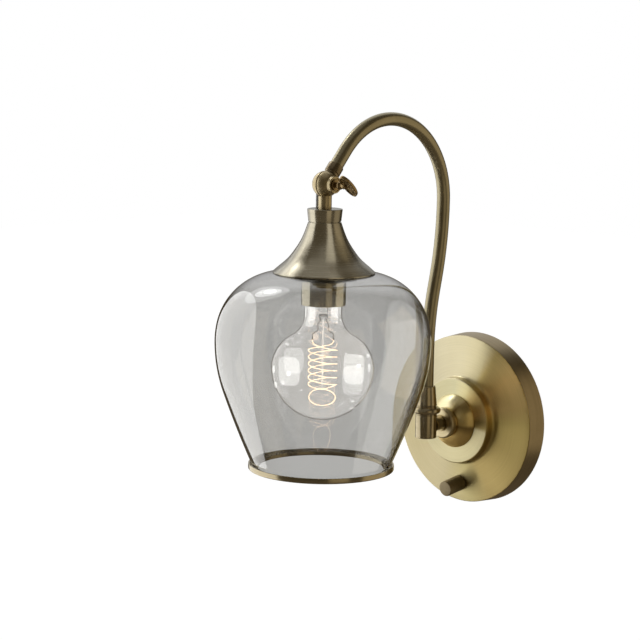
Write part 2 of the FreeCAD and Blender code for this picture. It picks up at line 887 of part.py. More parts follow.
def make_shade_cap():
    flare = cap_lip_radius - cap_top_radius
    outer = [(cap_top_radius + flare * out, CAP_TOP - cap_height * down) for out, down in cap_flare_shares]
    inner = inset(outer, cap_wall)[1:-1] + [(LIP_SEAT_RADIUS, LIP_LOW)]
    hole = head_nipple_radius + seat_gap
    outline = Outline(hole, CAP_TOP)
    outline.line(*outer[0])
    outline.spline(outer)
    outline.line(cap_lip_radius, LIP_LOW)
    outline.line(*inner[-1])
    outline.spline(inner[::-1])
    outline.line(cap_top_radius - cap_wall, CAP_TOP - cap_wall)
    outline.line(hole, CAP_TOP - cap_wall)
    return at_head_axis(outline.turned().cut(lead_hole(CAP_TOP - overrun, CAP_TOP + overrun)))


def make_head_nipple():
    low = DOME_TOP - dome_neck_height
    high = neck_thread_depth - neck_drop - head_nipple_reach
    return at_head_axis(tube(head_nipple_radius, head_nipple_bore_radius, low, high))


def make_cap_nut():
    high = CAP_TOP - cap_wall
    return at_head_axis(hex_nut(cap_nut_flats, head_nipple_radius + seat_gap, high - cap_nut_height, cap_nut_height))


# Glass shade, heights from the pivot

SHOULDER_STEP = polar(glass_upper_belly_bend - glass_shoulder_bend, glass_upper_belly_deg)
SHOULDER_RADIUS = glass_belly_radius - glass_upper_belly_bend + SHOULDER_STEP[0]


def shoulder_sag(radius, inward):
    """How far the shoulder has dropped at a radius, on the outside or moved inwards by a distance."""
    bend = glass_shoulder_bend - inward
    return bend - math.sqrt(bend ** 2 - max(0, radius - SHOULDER_RADIUS) ** 2)


SHADE_TOP = LIP_LOW - seat_gap + shoulder_sag(LIP_SEAT_RADIUS, 0)
SHADE_BELLY = SHADE_TOP - glass_shoulder_bend - SHOULDER_STEP[1]
SHADE_RIM = SHADE_BELLY - glass_skirt_height


def shade_arcs(inward):
    """Centres, radii and angles of the shade's arcs from the rim up, moved inwards by a distance."""
    upper = (glass_belly_radius - glass_upper_belly_bend, SHADE_BELLY)
    shoulder = (SHOULDER_RADIUS, SHADE_BELLY + SHOULDER_STEP[1])
    lower = (glass_belly_radius - glass_lower_belly_bend, SHADE_BELLY)
    step = polar(glass_skirt_bend - glass_lower_belly_bend, 180 - glass_lower_belly_deg)
    skirt = (lower[0] + step[0], lower[1] + step[1])
    rim_sine = (skirt[1] - SHADE_RIM) / (glass_skirt_bend - inward)
    return (
        (skirt, glass_skirt_bend - inward, -math.degrees(math.asin(rim_sine)), -glass_lower_belly_deg),
        (lower, glass_lower_belly_bend - inward, -glass_lower_belly_deg, 0),
        (upper, glass_upper_belly_bend - inward, 0, glass_upper_belly_deg),
        (shoulder, glass_shoulder_bend - inward, glass_upper_belly_deg, 90),
    )


def make_shade_glass():
    outer = shade_arcs(0)
    inner = shade_arcs(glass_thickness)
    centre, radius, start_deg = outer[0][:3]
    first = polar(radius, start_deg)
    outline = Outline(centre[0] + first[0], centre[1] + first[1])
    for arc in outer:
        outline.bend(*arc)
    outline.line(glass_hole_radius, SHADE_TOP)
    outline.line(glass_hole_radius, SHADE_TOP - glass_thickness)
    for centre, radius, start_deg, end_deg in inner[::-1]:
        outline.bend(centre, radius, end_deg, start_deg)
    return at_head_axis(outline.turned())


RING_FLOOR = SHADE_RIM - seat_gap - ring_floor


def rim_radius(inward):
    """Radius of the glass at its rim, on the outside or moved inwards by a distance."""
    centre, radius, start_deg = shade_arcs(inward)[0][:3]
    return centre[0] + polar(radius, start_deg)[0]


def make_trim_ring():
    """A channel ring: a plain outer band, a floor under the glass and a low inner lip."""
    low = RING_FLOOR
    seat = low + ring_floor
    ring_radius = rim_radius(0) + ring_outer_gap + ring_wall
    lip_radius = rim_radius(glass_thickness) - ring_inner_gap
    ring_inner_radius = lip_radius - ring_wall
    edge = ring_round
    outline = Outline(ring_inner_radius, low)
    outline.bend((ring_radius - edge, low + edge), edge, -90, 0)
    outline.line(ring_radius, low + ring_height)
    outline.line(ring_radius - ring_wall, low + ring_height)
    outline.line(ring_radius - ring_wall, seat)
    outline.line(lip_radius, seat)
    outline.line(lip_radius, low + ring_lip_height)
    outline.line(ring_inner_radius, low + ring_lip_height)
    return at_head_axis(outline.turned())


# Lamp holder, heights from the pivot

GASKET_HIGH = SHADE_TOP - glass_thickness - shoulder_sag(shade_gasket_radius, glass_thickness) - shade_gasket_gap
SHADE_RING_HIGH = GASKET_HIGH - shade_gasket_height
SHADE_RING_LOW = SHADE_RING_HIGH - shade_ring_height
HOLDER_LOW = SHADE_RING_LOW - holder_skirt_length
THREAD_HIGH = SHADE_RING_LOW + holder_thread_height
DOME_TOP = THREAD_HIGH + dome_height + dome_neck_height
INSERT_TOP = THREAD_HIGH + dome_wall
INSERT_LOW = INSERT_TOP - insert_height
CAVITY_TOP = INSERT_TOP - insert_web
holder_bore = holder_thread_radius - holder_wall
insert_radius = holder_bore - seat_gap


def make_holder_skirt():
    outline = Outline(holder_radius - holder_wall, HOLDER_LOW)
    outline.line(holder_radius, HOLDER_LOW)
    outline.line(holder_radius, SHADE_RING_LOW)
    outline.line(holder_thread_radius, SHADE_RING_LOW)
    outline.line(holder_thread_radius, THREAD_HIGH)
    outline.line(holder_bore, THREAD_HIGH)
    outline.line(holder_bore, INSERT_LOW)
    outline.line(holder_radius - holder_wall, INSERT_LOW - holder_wall)
    return at_head_axis(outline.turned())


def make_shade_ring():
    hole = holder_thread_radius + seat_gap
    outline = Outline(hole, SHADE_RING_LOW)
    outline.line(shade_gasket_radius, SHADE_RING_LOW)
    outline.line(shade_ring_radius, SHADE_RING_LOW + shade_ring_step)
    outline.line(shade_ring_radius, SHADE_RING_HIGH)
    outline.line(hole, SHADE_RING_HIGH)
    return at_head_axis(outline.turned())


def make_shade_gasket():
    return at_head_axis(tube(shade_gasket_radius, glass_hole_radius, SHADE_RING_HIGH, GASKET_HIGH))


def make_holder_dome():
    """A domed cover with a threaded neck, and a hole beside the neck for the lead."""
    rise = dome_height
    hole = head_nipple_radius + seat_gap
    shoulder = (holder_thread_radius + dome_neck_radius) / 2
    outline = Outline(holder_thread_radius, THREAD_HIGH + seat_gap)
    outline.arc(shoulder + dome_wall, THREAD_HIGH + rise - dome_wall, dome_neck_radius, THREAD_HIGH + rise)
    outline.line(dome_neck_radius, DOME_TOP)
    outline.line(hole, DOME_TOP)
    outline.line(hole, THREAD_HIGH + rise - dome_wall)
    outline.line(dome_neck_radius, THREAD_HIGH + rise - dome_wall)
    outline.arc(shoulder, THREAD_HIGH + rise - 2 * dome_wall, holder_bore, THREAD_HIGH + seat_gap)
    return at_head_axis(outline.turned().cut(lead_hole(THREAD_HIGH, DOME_TOP + overrun)))


def make_holder_insert():
    cavity = shell_radius + seat_gap
    outline = Outline(cavity, INSERT_LOW)
    outline.line(insert_radius, INSERT_LOW)
    outline.line(insert_radius, INSERT_TOP - dome_wall)
    outline.line(insert_radius - dome_wall, INSERT_TOP - dome_wall)
    outline.line(insert_radius - dome_wall, INSERT_TOP)
    outline.line(insert_recess_radius, INSERT_TOP)
    outline.line(insert_recess_radius, INSERT_TOP - insert_recess_depth)
    outline.line(0, INSERT_TOP - insert_recess_depth)
    outline.line(0, CAVITY_TOP)
    outline.line(cavity, CAVITY_TOP)
    return at_head_axis(outline.turned())


def make_screw_shell():
    outline = Outline(shell_radius, CAVITY_TOP)
    outline.line(shell_radius, CAVITY_TOP - shell_height)
    outline.line(shell_radius - shell_wall, CAVITY_TOP - shell_height)
    outline.line(shell_radius - shell_wall, CAVITY_TOP - shell_wall)
    outline.line(contact_radius + shell_wall, CAVITY_TOP - shell_wall)
    outline.line(contact_radius + shell_wall, CAVITY_TOP)
    return at_head_axis(outline.turned())


BULB_TIP = CAVITY_TOP - contact_thickness - seat_gap


def make_centre_contact():
    """A small disc with a spring tongue cut free on three sides."""
    disc = rod(contact_radius, CAVITY_TOP - contact_thickness, CAVITY_TOP)
    slot = tube(contact_slot, contact_slot - contact_thickness, CAVITY_TOP - 2 * contact_thickness,
                CAVITY_TOP + contact_thickness)
    keep = Part.makeBox(contact_radius, contact_slot, 4 * contact_thickness,
                        Vector(0, -contact_slot / 2, CAVITY_TOP - 2 * contact_thickness))
    return at_head_axis(disc.cut(slot.cut(keep)))


# Bulb, heights from the pivot

BULB_CAP_HIGH = BULB_TIP - bulb_contact_height - bulb_insulator_height
BULB_CAP_LOW = BULB_CAP_HIGH - bulb_cap_height
BULB_CENTRE = BULB_TIP - bulb_length + bulb_radius
throat_radius = bulb_cap_radius - bulb_cap_wall - seat_gap


def bulb_arcs(inward):
    """The two arcs from the widest point to the neck, moved inwards by a distance."""
    shoulder = (bulb_radius - bulb_shoulder_bend, BULB_CENTRE)
    between = bulb_shoulder_bend + bulb_waist_bend
    across = bulb_neck_radius + bulb_waist_bend - shoulder[0]
    up = math.sqrt(between ** 2 - across ** 2)
    waist = (shoulder[0] + across, shoulder[1] + up)
    tilt_deg = math.degrees(math.atan2(up, across))
    return (
        (shoulder, bulb_shoulder_bend - inward, 0, tilt_deg),
        (waist, bulb_waist_bend + inward, 180 + tilt_deg, 180),
    )


def bulb_outline(outline, inward, reverse):
    """Adds the bulb's side from the bottom to the throat, or back."""
    globe = ((0, BULB_CENTRE), bulb_radius - inward, -90, 0)
    shoulder, waist = bulb_arcs(inward)
    neck = bulb_neck_radius - inward
    throat = throat_radius - inward
    throat_high = BULB_CAP_LOW
    neck_high = throat_high - bulb_throat_height
    if not reverse:
        for arc in (globe, shoulder, waist):
            outline.bend(*arc)
        outline.line(neck, neck_high)
        outline.line(throat, throat_high)
        outline.line(throat, BULB_CAP_LOW + bulb_throat_height)
    else:
        outline.line(throat, BULB_CAP_LOW + bulb_throat_height)
        outline.line(throat, throat_high)
        outline.line(neck, neck_high)
        for centre, radius, start_deg, end_deg in (waist, shoulder, globe):
            outline.bend(centre, radius, end_deg, start_deg)
    return outline


def make_bulb_glass():
    outline = Outline(0, BULB_CENTRE - bulb_radius)
    bulb_outline(outline, 0, False)
    bulb_outline(outline, bulb_wall, True)
    return at_head_axis(outline.turned())


def make_bulb_cap():
    inner = bulb_cap_radius - bulb_cap_wall
    outline = Outline(inner, BULB_CAP_LOW)
    outline.line(bulb_cap_radius, BULB_CAP_LOW)
    outline.line(bulb_cap_radius, BULB_CAP_HIGH - bulb_cap_shoulder)
    outline.line(bulb_cap_top_radius, BULB_CAP_HIGH)
    outline.line(bulb_cap_top_radius - bulb_cap_wall, BULB_CAP_HIGH - bulb_cap_wall)
    outline.line(inner, BULB_CAP_HIGH - bulb_cap_shoulder - bulb_cap_wall)
    return at_head_axis(outline.turned())


def make_bulb_insulator():
    low = BULB_CAP_HIGH - bulb_cap_wall
    high = BULB_CAP_HIGH + bulb_insulator_height
    outline = Outline(0, low)
    outline.line(bulb_cap_top_radius - bulb_cap_wall - seat_gap, low)
    outline.line(bulb_cap_top_radius - seat_gap, BULB_CAP_HIGH + seat_gap)
    outline.line(bulb_insulator_radius, high)
    outline.line(0, high)
    return at_head_axis(outline.turned())


def make_bulb_contact():
    low = BULB_CAP_HIGH + bulb_insulator_height
    high = low + bulb_contact_height
    outline = Outline(0, low)
    outline.line(bulb_contact_radius, low)
    outline.line(bulb_contact_radius, high - bulb_contact_edge)
    outline.line(bulb_contact_radius / 2, high)
    outline.line(0, high)
    return at_head_axis(outline.turned())


# Glass mount, support wires and filament, in a frame at the widest point of the bulb

def in_bulb(shape):
    """Turns the bulb's inner parts as the bulb sits in its holder, and puts them in place."""
    turned = shape.copy()
    turned.rotate(Vector(0, 0, 0), Vector(0, 0, 1), bulb_turn_deg)
    turned.translate(PIVOT + Vector(0, 0, BULB_CENTRE))
    return turned


MOUNT_HIGH = BULB_CAP_LOW + bulb_throat_height - BULB_CENTRE
stem_flare_radius = throat_radius - bulb_wall - seat_gap
TUBE_LOW = MOUNT_HIGH - stem_flare_height - stem_tube_height
PINCH_LOW = TUBE_LOW - stem_pinch_height


def make_bulb_stem():
    """Flared glass tube, flat pinch, and the long rod that carries the filament's hooks."""
    outline = Outline(0, TUBE_LOW)
    outline.line(stem_tube_radius, TUBE_LOW)
    outline.line(stem_tube_radius, MOUNT_HIGH - stem_flare_height)
    outline.arc((stem_tube_radius + stem_flare_radius) / 2 - bulb_wall, MOUNT_HIGH - stem_flare_height / 2,
                stem_flare_radius, MOUNT_HIGH)
    outline.line(0, MOUNT_HIGH)
    pinch = Part.makeBox(stem_pinch_width - stem_pinch_thickness, stem_pinch_thickness, stem_pinch_height,
                         Vector(-(stem_pinch_width - stem_pinch_thickness) / 2, -stem_pinch_thickness / 2, PINCH_LOW))
    for side in (-1, 1):
        end = side * (stem_pinch_width - stem_pinch_thickness) / 2
        pinch = pinch.fuse(rod(stem_pinch_thickness / 2, PINCH_LOW, TUBE_LOW, end))
    bar_low = PINCH_LOW - rod_length
    bar = rod(rod_radius, bar_low, PINCH_LOW)
    button = rod(rod_button_radius, bar_low - rod_button_height / 2, bar_low)
    mount = outline.turned().fuse([pinch, bar, button]).removeSplitter()
    return in_bulb(mount.cut(support_wires()))


SUPPORT_END = PINCH_LOW - support_spread - support_fall - support_sweep - support_tail
FILAMENT_START = SUPPORT_END - crimp_height


def support_wires():
    """Two bent wires from inside the pinch, which spread twice on their way down."""
    route = (
        (support_inner, PINCH_LOW + support_root),
        (support_inner, PINCH_LOW),
        (support_outer, PINCH_LOW - support_spread),
        (support_outer, PINCH_LOW - support_spread - support_fall),
        (support_end, SUPPORT_END + support_tail),
        (support_end, SUPPORT_END),
    )
    wires = []
    for side in (-1, 1):
        points = [Vector(side * reach, 0, height) for reach, height in route]
        edges = rounded_path(points, [support_bend] * (len(points) - 2))
        wires.append(sweep_round(edges, support_radius))
    return Part.makeCompound(wires)


def make_bulb_supports():
    """The two wires, each with a crimp that holds one end of the filament."""
    held = []
    for side, wire in zip((-1, 1), support_wires().Solids):
        crimp = Part.makeCylinder(crimp_radius, crimp_height, Vector(side * support_end, 0, FILAMENT_START))
        held.append(wire.fuse(crimp))
    return in_bulb(Part.makeCompound(held))


def filament_stations():
    """Places and headings along the filament: down one spiral, round the loop and up the other."""
    bottom = filament_top - filament_pitch * filament_quarters / 4
    hook = bottom - filament_hook_drop
    slope = filament_pitch / (2 * math.pi * filament_coil_radius)
    down = []
    down.append((Vector(-support_end, 0, FILAMENT_START), Vector(0, 0, -1)))
    lead_in = Vector(0, -filament_lead_in_offset, filament_top + filament_lead_in_drop)
    down.append((lead_in, Vector(1, 0, -2 * filament_climb_share)))
    for quarter in range(filament_quarters + 1):
        angle = math.pi / 2 * quarter
        place = Vector(filament_coil_radius * math.cos(angle), filament_coil_radius * math.sin(angle),
                       filament_top - filament_pitch * quarter / 4)
        down.append((place, Vector(-math.sin(angle), math.cos(angle), -slope)))
    down.append((Vector(0, -filament_hook_offset, hook), Vector(1, 0, 0)))
    loop = []
    tilt = math.radians(filament_loop_tilt_deg)
    for quarter in (1, 2, 3):
        angle = math.pi / 2 * quarter
        side = filament_loop_radius * math.sin(angle)
        out = filament_loop_radius * (1 - math.cos(angle))
        shift = filament_hook_offset * (quarter / 2 - 1)
        heading = Vector(math.cos(angle), -math.sin(angle) * math.cos(tilt), -math.sin(angle) * math.sin(tilt))
        loop.append((Vector(side, shift - out * math.cos(tilt), hook - out * math.sin(tilt)), heading))
    up = []
    for place, heading in down[::-1]:
        up.append((Vector(-place.x, -place.y, place.z), Vector(heading.x, heading.y, -heading.z)))
    return down + loop + up


def biarc(start, start_heading, end, end_heading):
    """Two tangent arcs from one place and heading to the next."""
    span = end - start
    headings = start_heading + end_heading
    square = 2 * (1 - start_heading.dot(end_heading))
    reach = (math.sqrt(span.dot(headings) ** 2 + square * span.dot(span)) - span.dot(headings)) / square \
        if square > 1e-9 else span.dot(span) / (4 * span.dot(start_heading))
    first = start + start_heading * reach
    last = end - end_heading * reach
    joint = (first + last) * 0.5
    return [tangent_arc(start, first, joint), tangent_arc(joint, last, end)]


def tangent_arc(start, corner, end):
    """The arc from start to end whose tangents there meet at the corner."""
    inward = (start - corner).normalize()
    outward = (end - corner).normalize()
    half = inward.getAngle(outward) / 2
    radius = (start - corner).Length * math.tan(half)
    middle = corner + (inward + outward).normalize() * (radius / math.sin(half) - radius)
    return Part.Arc(start, middle, end).toShape()


def filament_edges():
    edges = []
    stations = [(place, heading.normalize()) for place, heading in filament_stations()]
    for (place, heading), (next_place, next_heading) in zip(stations, stations[1:]):
        edges += biarc(place, heading, next_place, next_heading)
    return edges


def least_self_gap(edges, radius):
    """Least clear gap between parts of a wound wire that lie further apart along it than they can touch."""
    points = []
    travelled = 0
    for edge in edges:
        count = 8
        for step in range(count):
            share = step / count
            parameter = edge.FirstParameter + (edge.LastParameter - edge.FirstParameter) * share
            points.append((travelled + edge.Length * share, edge.valueAt(parameter)))
        travelled += edge.Length
    apart = math.pi * filament_coil_radius / 2
    return min((one[1] - two[1]).Length for one in points for two in points if two[0] - one[0] > apart) - 2 * radius


def make_filament():
    edges = filament_edges()
    print("filament length", round(sum(edge.Length for edge in edges), 1))
    print("filament tightest bend", round(min(edge.Curve.Radius for edge in edges), 2))
    print("filament least gap to itself", round(least_self_gap(edges, filament_radius), 2))
    return in_bulb(sweep_round(edges, filament_radius))


# Lead through the lamp

def make_hub_lead():
    """From the wall through the nipple and stem, then up into the spindle."""
    points = [Vector(0, 0, 0), Vector(0, -swing_depth, 0), Vector(0, -swing_depth, lead_tee_top)]
    edges = rounded_path(points, [lead_turn_radius - seat_gap])
    return sweep_round(edges, lead_radius)


def make_arm_lead():
    """Inside the arm from the spindle to the half ball's underside."""
    start, corner, end = knuckle_lead_points()
    arm_edges = trimmed_arm_path(lead_tee_top + lead_gap, lead_knuckle_start + lead_knuckle_bend)
    last = arm_edges[-1]
    turn_from = last.valueAt(last.LastParameter)
    tail = rounded_path([turn_from, start, corner, end], [lead_knuckle_bend, lead_knuckle_bend])
    return sweep_round(arm_edges + tail, lead_radius)


def make_head_lead():
    """From under the tilt knuckle through collar and cap to the lamp holder."""
    high = -lead_exit_drop() - lead_gap
    return at_head_axis(rod(lead_radius, INSERT_TOP, high, -lead_side))


# Rotary switch, in a frame on the plate's cone face with its height axis outwards

def at_knob(shape):
    return stand(shape, KNOB_BASE, KNOB_AXIS)


def rounded_block(length, width, low, high, edge):
    x = length / 2
    y = width / 2
    block = Part.makeBox(length, width, high - low, Vector(-x, -y, low))
    uprights = [side for side in block.Edges if abs(side.tangentAt(side.FirstParameter).z) > 0.9]
    return block.makeFillet(edge, uprights)


SWITCH_SAG = (switch_length / 2) ** 2 * math.sin(math.radians(plate_slope_deg)) / knob_place
SWITCH_FRONT = -plate_wall - seat_gap - SWITCH_SAG


def make_switch_body():
    body = rounded_block(switch_length, switch_width, SWITCH_FRONT - switch_depth, SWITCH_FRONT, switch_round)
    return at_knob(body.cut(rod(shaft_radius + running_gap, SWITCH_FRONT - switch_depth / 2, SWITCH_FRONT + overrun)))


def make_switch_bush():
    return at_knob(tube(bush_radius, shaft_radius + running_gap, SWITCH_FRONT, bush_reach))


def make_switch_nut():
    return at_knob(hex_nut(switch_nut_flats, bush_radius + seat_gap, seat_gap, switch_nut_height))


def shaft_section(gap, low, high):
    """A round shaft with one flat, larger by a gap for its bore."""
    shaft = rod(shaft_radius + gap, low, high)
    flat = shaft_radius - shaft_flat + gap
    return shaft.cut(Part.makeBox(4 * shaft_radius, 2 * shaft_radius, high - low,
                                  Vector(-2 * shaft_radius, flat, low)))


def make_switch_shaft():
    low = SWITCH_FRONT - switch_depth / 2 + flat_gap
    high = knob_lift + knob_bore_depth - seat_gap
    lower = rod(shaft_radius, low, bush_reach)
    return at_knob(lower.fuse(shaft_section(0, bush_reach, high)).removeSplitter())


def make_switch_knob():
    low = knob_lift
    high = knob_lift + knob_length
    outline = Outline(0, low)
    outline.line(knob_radius, low)
    outline.line(knob_radius, high - knob_edge)
    outline.line(knob_radius - knob_edge, high)
    outline.line(0, high)
    knob = outline.turned().cut(rod(knob_recess_radius, low - overrun, low + knob_recess_depth))
    return at_knob(knob.cut(shaft_section(seat_gap, low, low + knob_bore_depth)))


def make_switch_wires():
    """Two insulated wires from the back of the switch, up behind the plate and out to the wall box."""
    back = SWITCH_FRONT - switch_depth
    wires = []
    for side in (-1, 1):
        x = side * switch_wire_spacing / 2
        start = KNOB_BASE + KNOB_AXIS * back + Vector(x, 0, 0)
        below = start - KNOB_AXIS * switch_wire_stub
        corner = Vector(x, below.y, start.z + switch_wire_rise)
        points = [start, Vector(x, below.y, below.z), corner, Vector(x, 0, corner.z)]
        wires.append(sweep_round(rounded_path(points, [switch_wire_stub - seat_gap, switch_wire_bend]), switch_wire_radius))
    return Part.makeCompound(wires)


PARTS = {
    "back_plate": make_back_plate,
    "mounting_strap": make_mounting_strap,
    "earth_screw": make_earth_screw,
    "hub_nipple": make_hub_nipple,
    "lock_nuts": make_lock_nuts,
    "lock_washer": make_lock_washer,
    "hub_boss": make_hub_boss,
    "hub_collar": make_hub_collar,
    "stem": make_stem,
    "tee_body": make_tee_body,
    "tee_plug": make_tee_plug,
    "hub_lead": make_hub_lead,
    "switch_body": make_switch_body,
    "switch_bush": make_switch_bush,
    "switch_nut": make_switch_nut,
    "switch_wires": make_switch_wires,
    "switch_shaft": make_switch_shaft,
    "switch_knob": make_switch_knob,
    "friction_ring": make_friction_ring,
    "bead_ring": make_bead_ring,
    "arm_ferrule": make_arm_ferrule,
    "pivot_spindle": make_pivot_spindle,
    "spindle_washer": make_spindle_washer,
    "spindle_nut": make_spindle_nut,
    "arm_tube": make_arm_tube,
    "arm_lead": make_arm_lead,
    "upper_knuckle": make_upper_knuckle,
    "tilt_washer": make_tilt_washer,
    "lower_knuckle": make_lower_knuckle,
    "thumb_screw": make_thumb_screw,
    "screw_washer": make_screw_washer,
    "cap_collar": make_cap_collar,
    "shade_cap": make_shade_cap,
    "cap_nut": make_cap_nut,
    "head_nipple": make_head_nipple,
    "head_lead": make_head_lead,
    "shade_glass": make_shade_glass,
    "trim_ring": make_trim_ring,
    "shade_ring": make_shade_ring,
    "shade_gasket": make_shade_gasket,
    "holder_skirt": make_holder_skirt,
    "holder_dome": make_holder_dome,
    "holder_insert": make_holder_insert,
    "screw_shell": make_screw_shell,
    "centre_contact": make_centre_contact,
    "bulb_glass": make_bulb_glass,
    "bulb_cap": make_bulb_cap,
    "bulb_insulator": make_bulb_insulator,
    "bulb_contact": make_bulb_contact,
    "bulb_stem": make_bulb_stem,
    "bulb_supports": make_bulb_supports,
    "filament": make_filament,
}

os.makedirs("parts", exist_ok=True)
for name, make in PARTS.items():
    make().exportStep("parts/" + name + ".step")
print("pivot", round(PIVOT.x, 2), round(PIVOT.y, 2), round(PIVOT.z, 2))
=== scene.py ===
import math

import bmesh
import bpy
import numpy as np
from mathutils import Matrix, Quaternion, Vector


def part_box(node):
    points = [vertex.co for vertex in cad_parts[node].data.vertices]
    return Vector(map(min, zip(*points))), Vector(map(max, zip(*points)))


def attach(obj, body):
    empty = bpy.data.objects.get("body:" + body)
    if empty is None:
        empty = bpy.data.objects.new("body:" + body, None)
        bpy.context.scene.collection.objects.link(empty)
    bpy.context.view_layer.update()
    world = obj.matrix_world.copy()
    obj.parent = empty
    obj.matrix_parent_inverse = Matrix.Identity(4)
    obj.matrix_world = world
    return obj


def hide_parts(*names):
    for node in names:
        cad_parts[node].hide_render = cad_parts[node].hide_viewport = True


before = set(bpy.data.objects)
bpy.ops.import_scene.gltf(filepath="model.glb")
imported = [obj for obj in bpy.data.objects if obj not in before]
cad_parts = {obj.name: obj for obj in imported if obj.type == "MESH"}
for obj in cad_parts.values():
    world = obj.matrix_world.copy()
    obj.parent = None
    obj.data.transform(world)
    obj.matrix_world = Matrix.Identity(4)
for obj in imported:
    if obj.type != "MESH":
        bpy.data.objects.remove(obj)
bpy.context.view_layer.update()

MM = 0.001
FULL_TURN = 2 * math.pi
UP = Vector((0, 0, 1))
OUT = Vector((0, -1, 0))
ACROSS = Vector((1, 0, 0))
SMOOTH_DEG = 38
SAME_PLACE = 1e-7
WHITE = (1.0, 1.0, 1.0)


# Outlines, in millimetres of radius and height

def bend(centre, radius, start_deg, end_deg, steps):
    """Points on a circle between two angles."""
    return [(centre[0] + radius * math.cos(angle), centre[1] + radius * math.sin(angle))
            for angle in np.radians(np.linspace(start_deg, end_deg, steps + 1))]


def bearing(centre, point):
    return math.degrees(math.atan2(point[1] - centre[1], point[0] - centre[0]))


def short_way(start_deg, end_deg):
    return (end_deg - start_deg + 180) % 360 - 180


def rounded(corners, steps=6):
    """Corner points (radius, height[, fillet]) to a polyline with the fillets as arcs."""
    points = []
    for index, corner in enumerate(corners):
        here = np.array(corner[:2], float)
        if len(corner) == 2:
            points.append(tuple(here))
            continue
        before = np.array(corners[index - 1][:2], float) - here
        after = np.array(corners[(index + 1) % len(corners)][:2], float) - here
        room = 0.48 * min(np.linalg.norm(before), np.linalg.norm(after))
        inward, outward = before / np.linalg.norm(before), after / np.linalg.norm(after)
        half = math.acos(np.clip(inward @ outward, -1, 1)) / 2
        reach = min(corner[2] / math.tan(half), room)
        middle = (inward + outward) / np.linalg.norm(inward + outward)
        centre = here + middle * reach / math.cos(half)
        start = bearing(centre, here + inward * reach)
        sweep = short_way(start, bearing(centre, here + outward * reach))
        points += bend(centre, reach * math.tan(half), start, start + sweep, steps)
    return points


def through(first, middle, last, steps=10):
    """Points from the first to the last on the circle through three, the short way round."""
    (ax, ay), (bx, by), (cx, cy) = first, middle, last
    scale = 2 * (ax * (by - cy) + bx * (cy - ay) + cx * (ay - by))
    a, b, c = (x * x + y * y for x, y in (first, middle, last))
    centre = ((a * (by - cy) + b * (cy - ay) + c * (ay - by)) / scale,
              (a * (cx - bx) + b * (ax - cx) + c * (bx - ax)) / scale)
    start = bearing(centre, first)
    sweep = short_way(start, bearing(centre, last))
    return bend(centre, math.dist(centre, first), start, start + sweep, steps)


def spline(knots, steps=10):
    """A natural cubic spline through the knots, by chord length."""
    knots = np.array(knots, float)
    gaps = np.linalg.norm(np.diff(knots, axis=0), axis=1)
    matrix = np.eye(len(knots))
    right = np.zeros((len(knots), 2))
    for row in range(1, len(knots) - 1):
        matrix[row, row - 1:row + 2] = gaps[row - 1], 2 * (gaps[row - 1] + gaps[row]), gaps[row]
        slopes = [(knots[one + 1] - knots[one]) / gaps[one] for one in (row - 1, row)]
        right[row] = 6 * (slopes[1] - slopes[0])
    second = np.linalg.solve(matrix, right)
    points = []
    for row, gap in enumerate(gaps):
        for step in range(steps):
            done = gap * step / steps
            rest = gap - done
            bulge = (second[row] * rest ** 3 + second[row + 1] * done ** 3) / (6 * gap)
            first = (knots[row] / gap - second[row] * gap / 6) * rest
            last = (knots[row + 1] / gap - second[row + 1] * gap / 6) * done
            points.append(tuple(bulge + first + last))
    return points + [tuple(knots[-1])]


# Meshes

def new_object(name, mesh):
    thing = bpy.data.objects.new(name, mesh)
    bpy.context.scene.collection.objects.link(thing)
    return thing


def smooth(mesh):
    mesh.polygons.foreach_set("use_smooth", [True] * len(mesh.polygons))
    mesh.set_sharp_from_angle(angle=math.radians(SMOOTH_DEG))
    mesh.update()


def loft(name, rings, lengths, material, closed=False, slots=None):
    """A skin over rings of points, where one point alone is a pole. lengths run along the skin in metres, and
    slots gives a material index for each run of it."""
    verts, rows = [], []
    for ring in rings:
        rows.append(list(range(len(verts), len(verts) + len(ring))))
        verts += ring
    faces, places, runs = [], [], []
    for row, (lower, upper) in enumerate(zip(rows, rows[1:] + (rows[:1] if closed else []))):
        low, high = lengths[row], lengths[row + 1]
        sides = max(len(lower), len(upper))
        for step in range(sides if sides > 1 else 0):
            after = (step + 1) % sides
            left, right = step / sides, (step + 1) / sides
            if len(lower) == 1:
                faces.append((lower[0], upper[after], upper[step]))
                places.append(((left, low), (right, high), (left, high)))
            elif len(upper) == 1:
                faces.append((lower[step], lower[after], upper[0]))
                places.append(((left, low), (right, low), (left, high)))
            else:
                faces.append((lower[step], lower[after], upper[after], upper[step]))
                places.append(((left, low), (right, low), (right, high), (left, high)))
            runs.append(slots[row] if slots else 0)
    if not closed:
        for end, length in ((rows[0][::-1], lengths[0]), (rows[-1], lengths[-1])):
            if len(end) > 1:
                faces.append(end)
                places.append([(step / len(end), length) for step in range(len(end))])
    mesh = bpy.data.meshes.new(name)
    mesh.from_pydata(verts, [], faces)
    layer = mesh.uv_layers.new(name="around")
    for polygon, corners in zip(mesh.polygons, places):
        for loop, corner in zip(polygon.loop_indices, corners):
            layer.data[loop].uv = corner
    work = bmesh.new()
    work.from_mesh(mesh)
    bmesh.ops.remove_doubles(work, verts=work.verts, dist=SAME_PLACE)
    bmesh.ops.recalc_face_normals(work, faces=work.faces)
    work.to_mesh(mesh)
    work.free()
    smooth(mesh)
    for one in material if isinstance(material, list) else [material]:
        mesh.materials.append(one)
    if slots:
        mesh.polygons.foreach_set("material_index", runs)
    return new_object(name, mesh)


def basis_for(direction):
    direction = direction.normalized()
    side = direction.cross(UP if abs(direction.z) < 0.9 else ACROSS).normalized()
    return side, direction.cross(side), direction


def turns(count):
    return [FULL_TURN * step / count for step in range(count)]


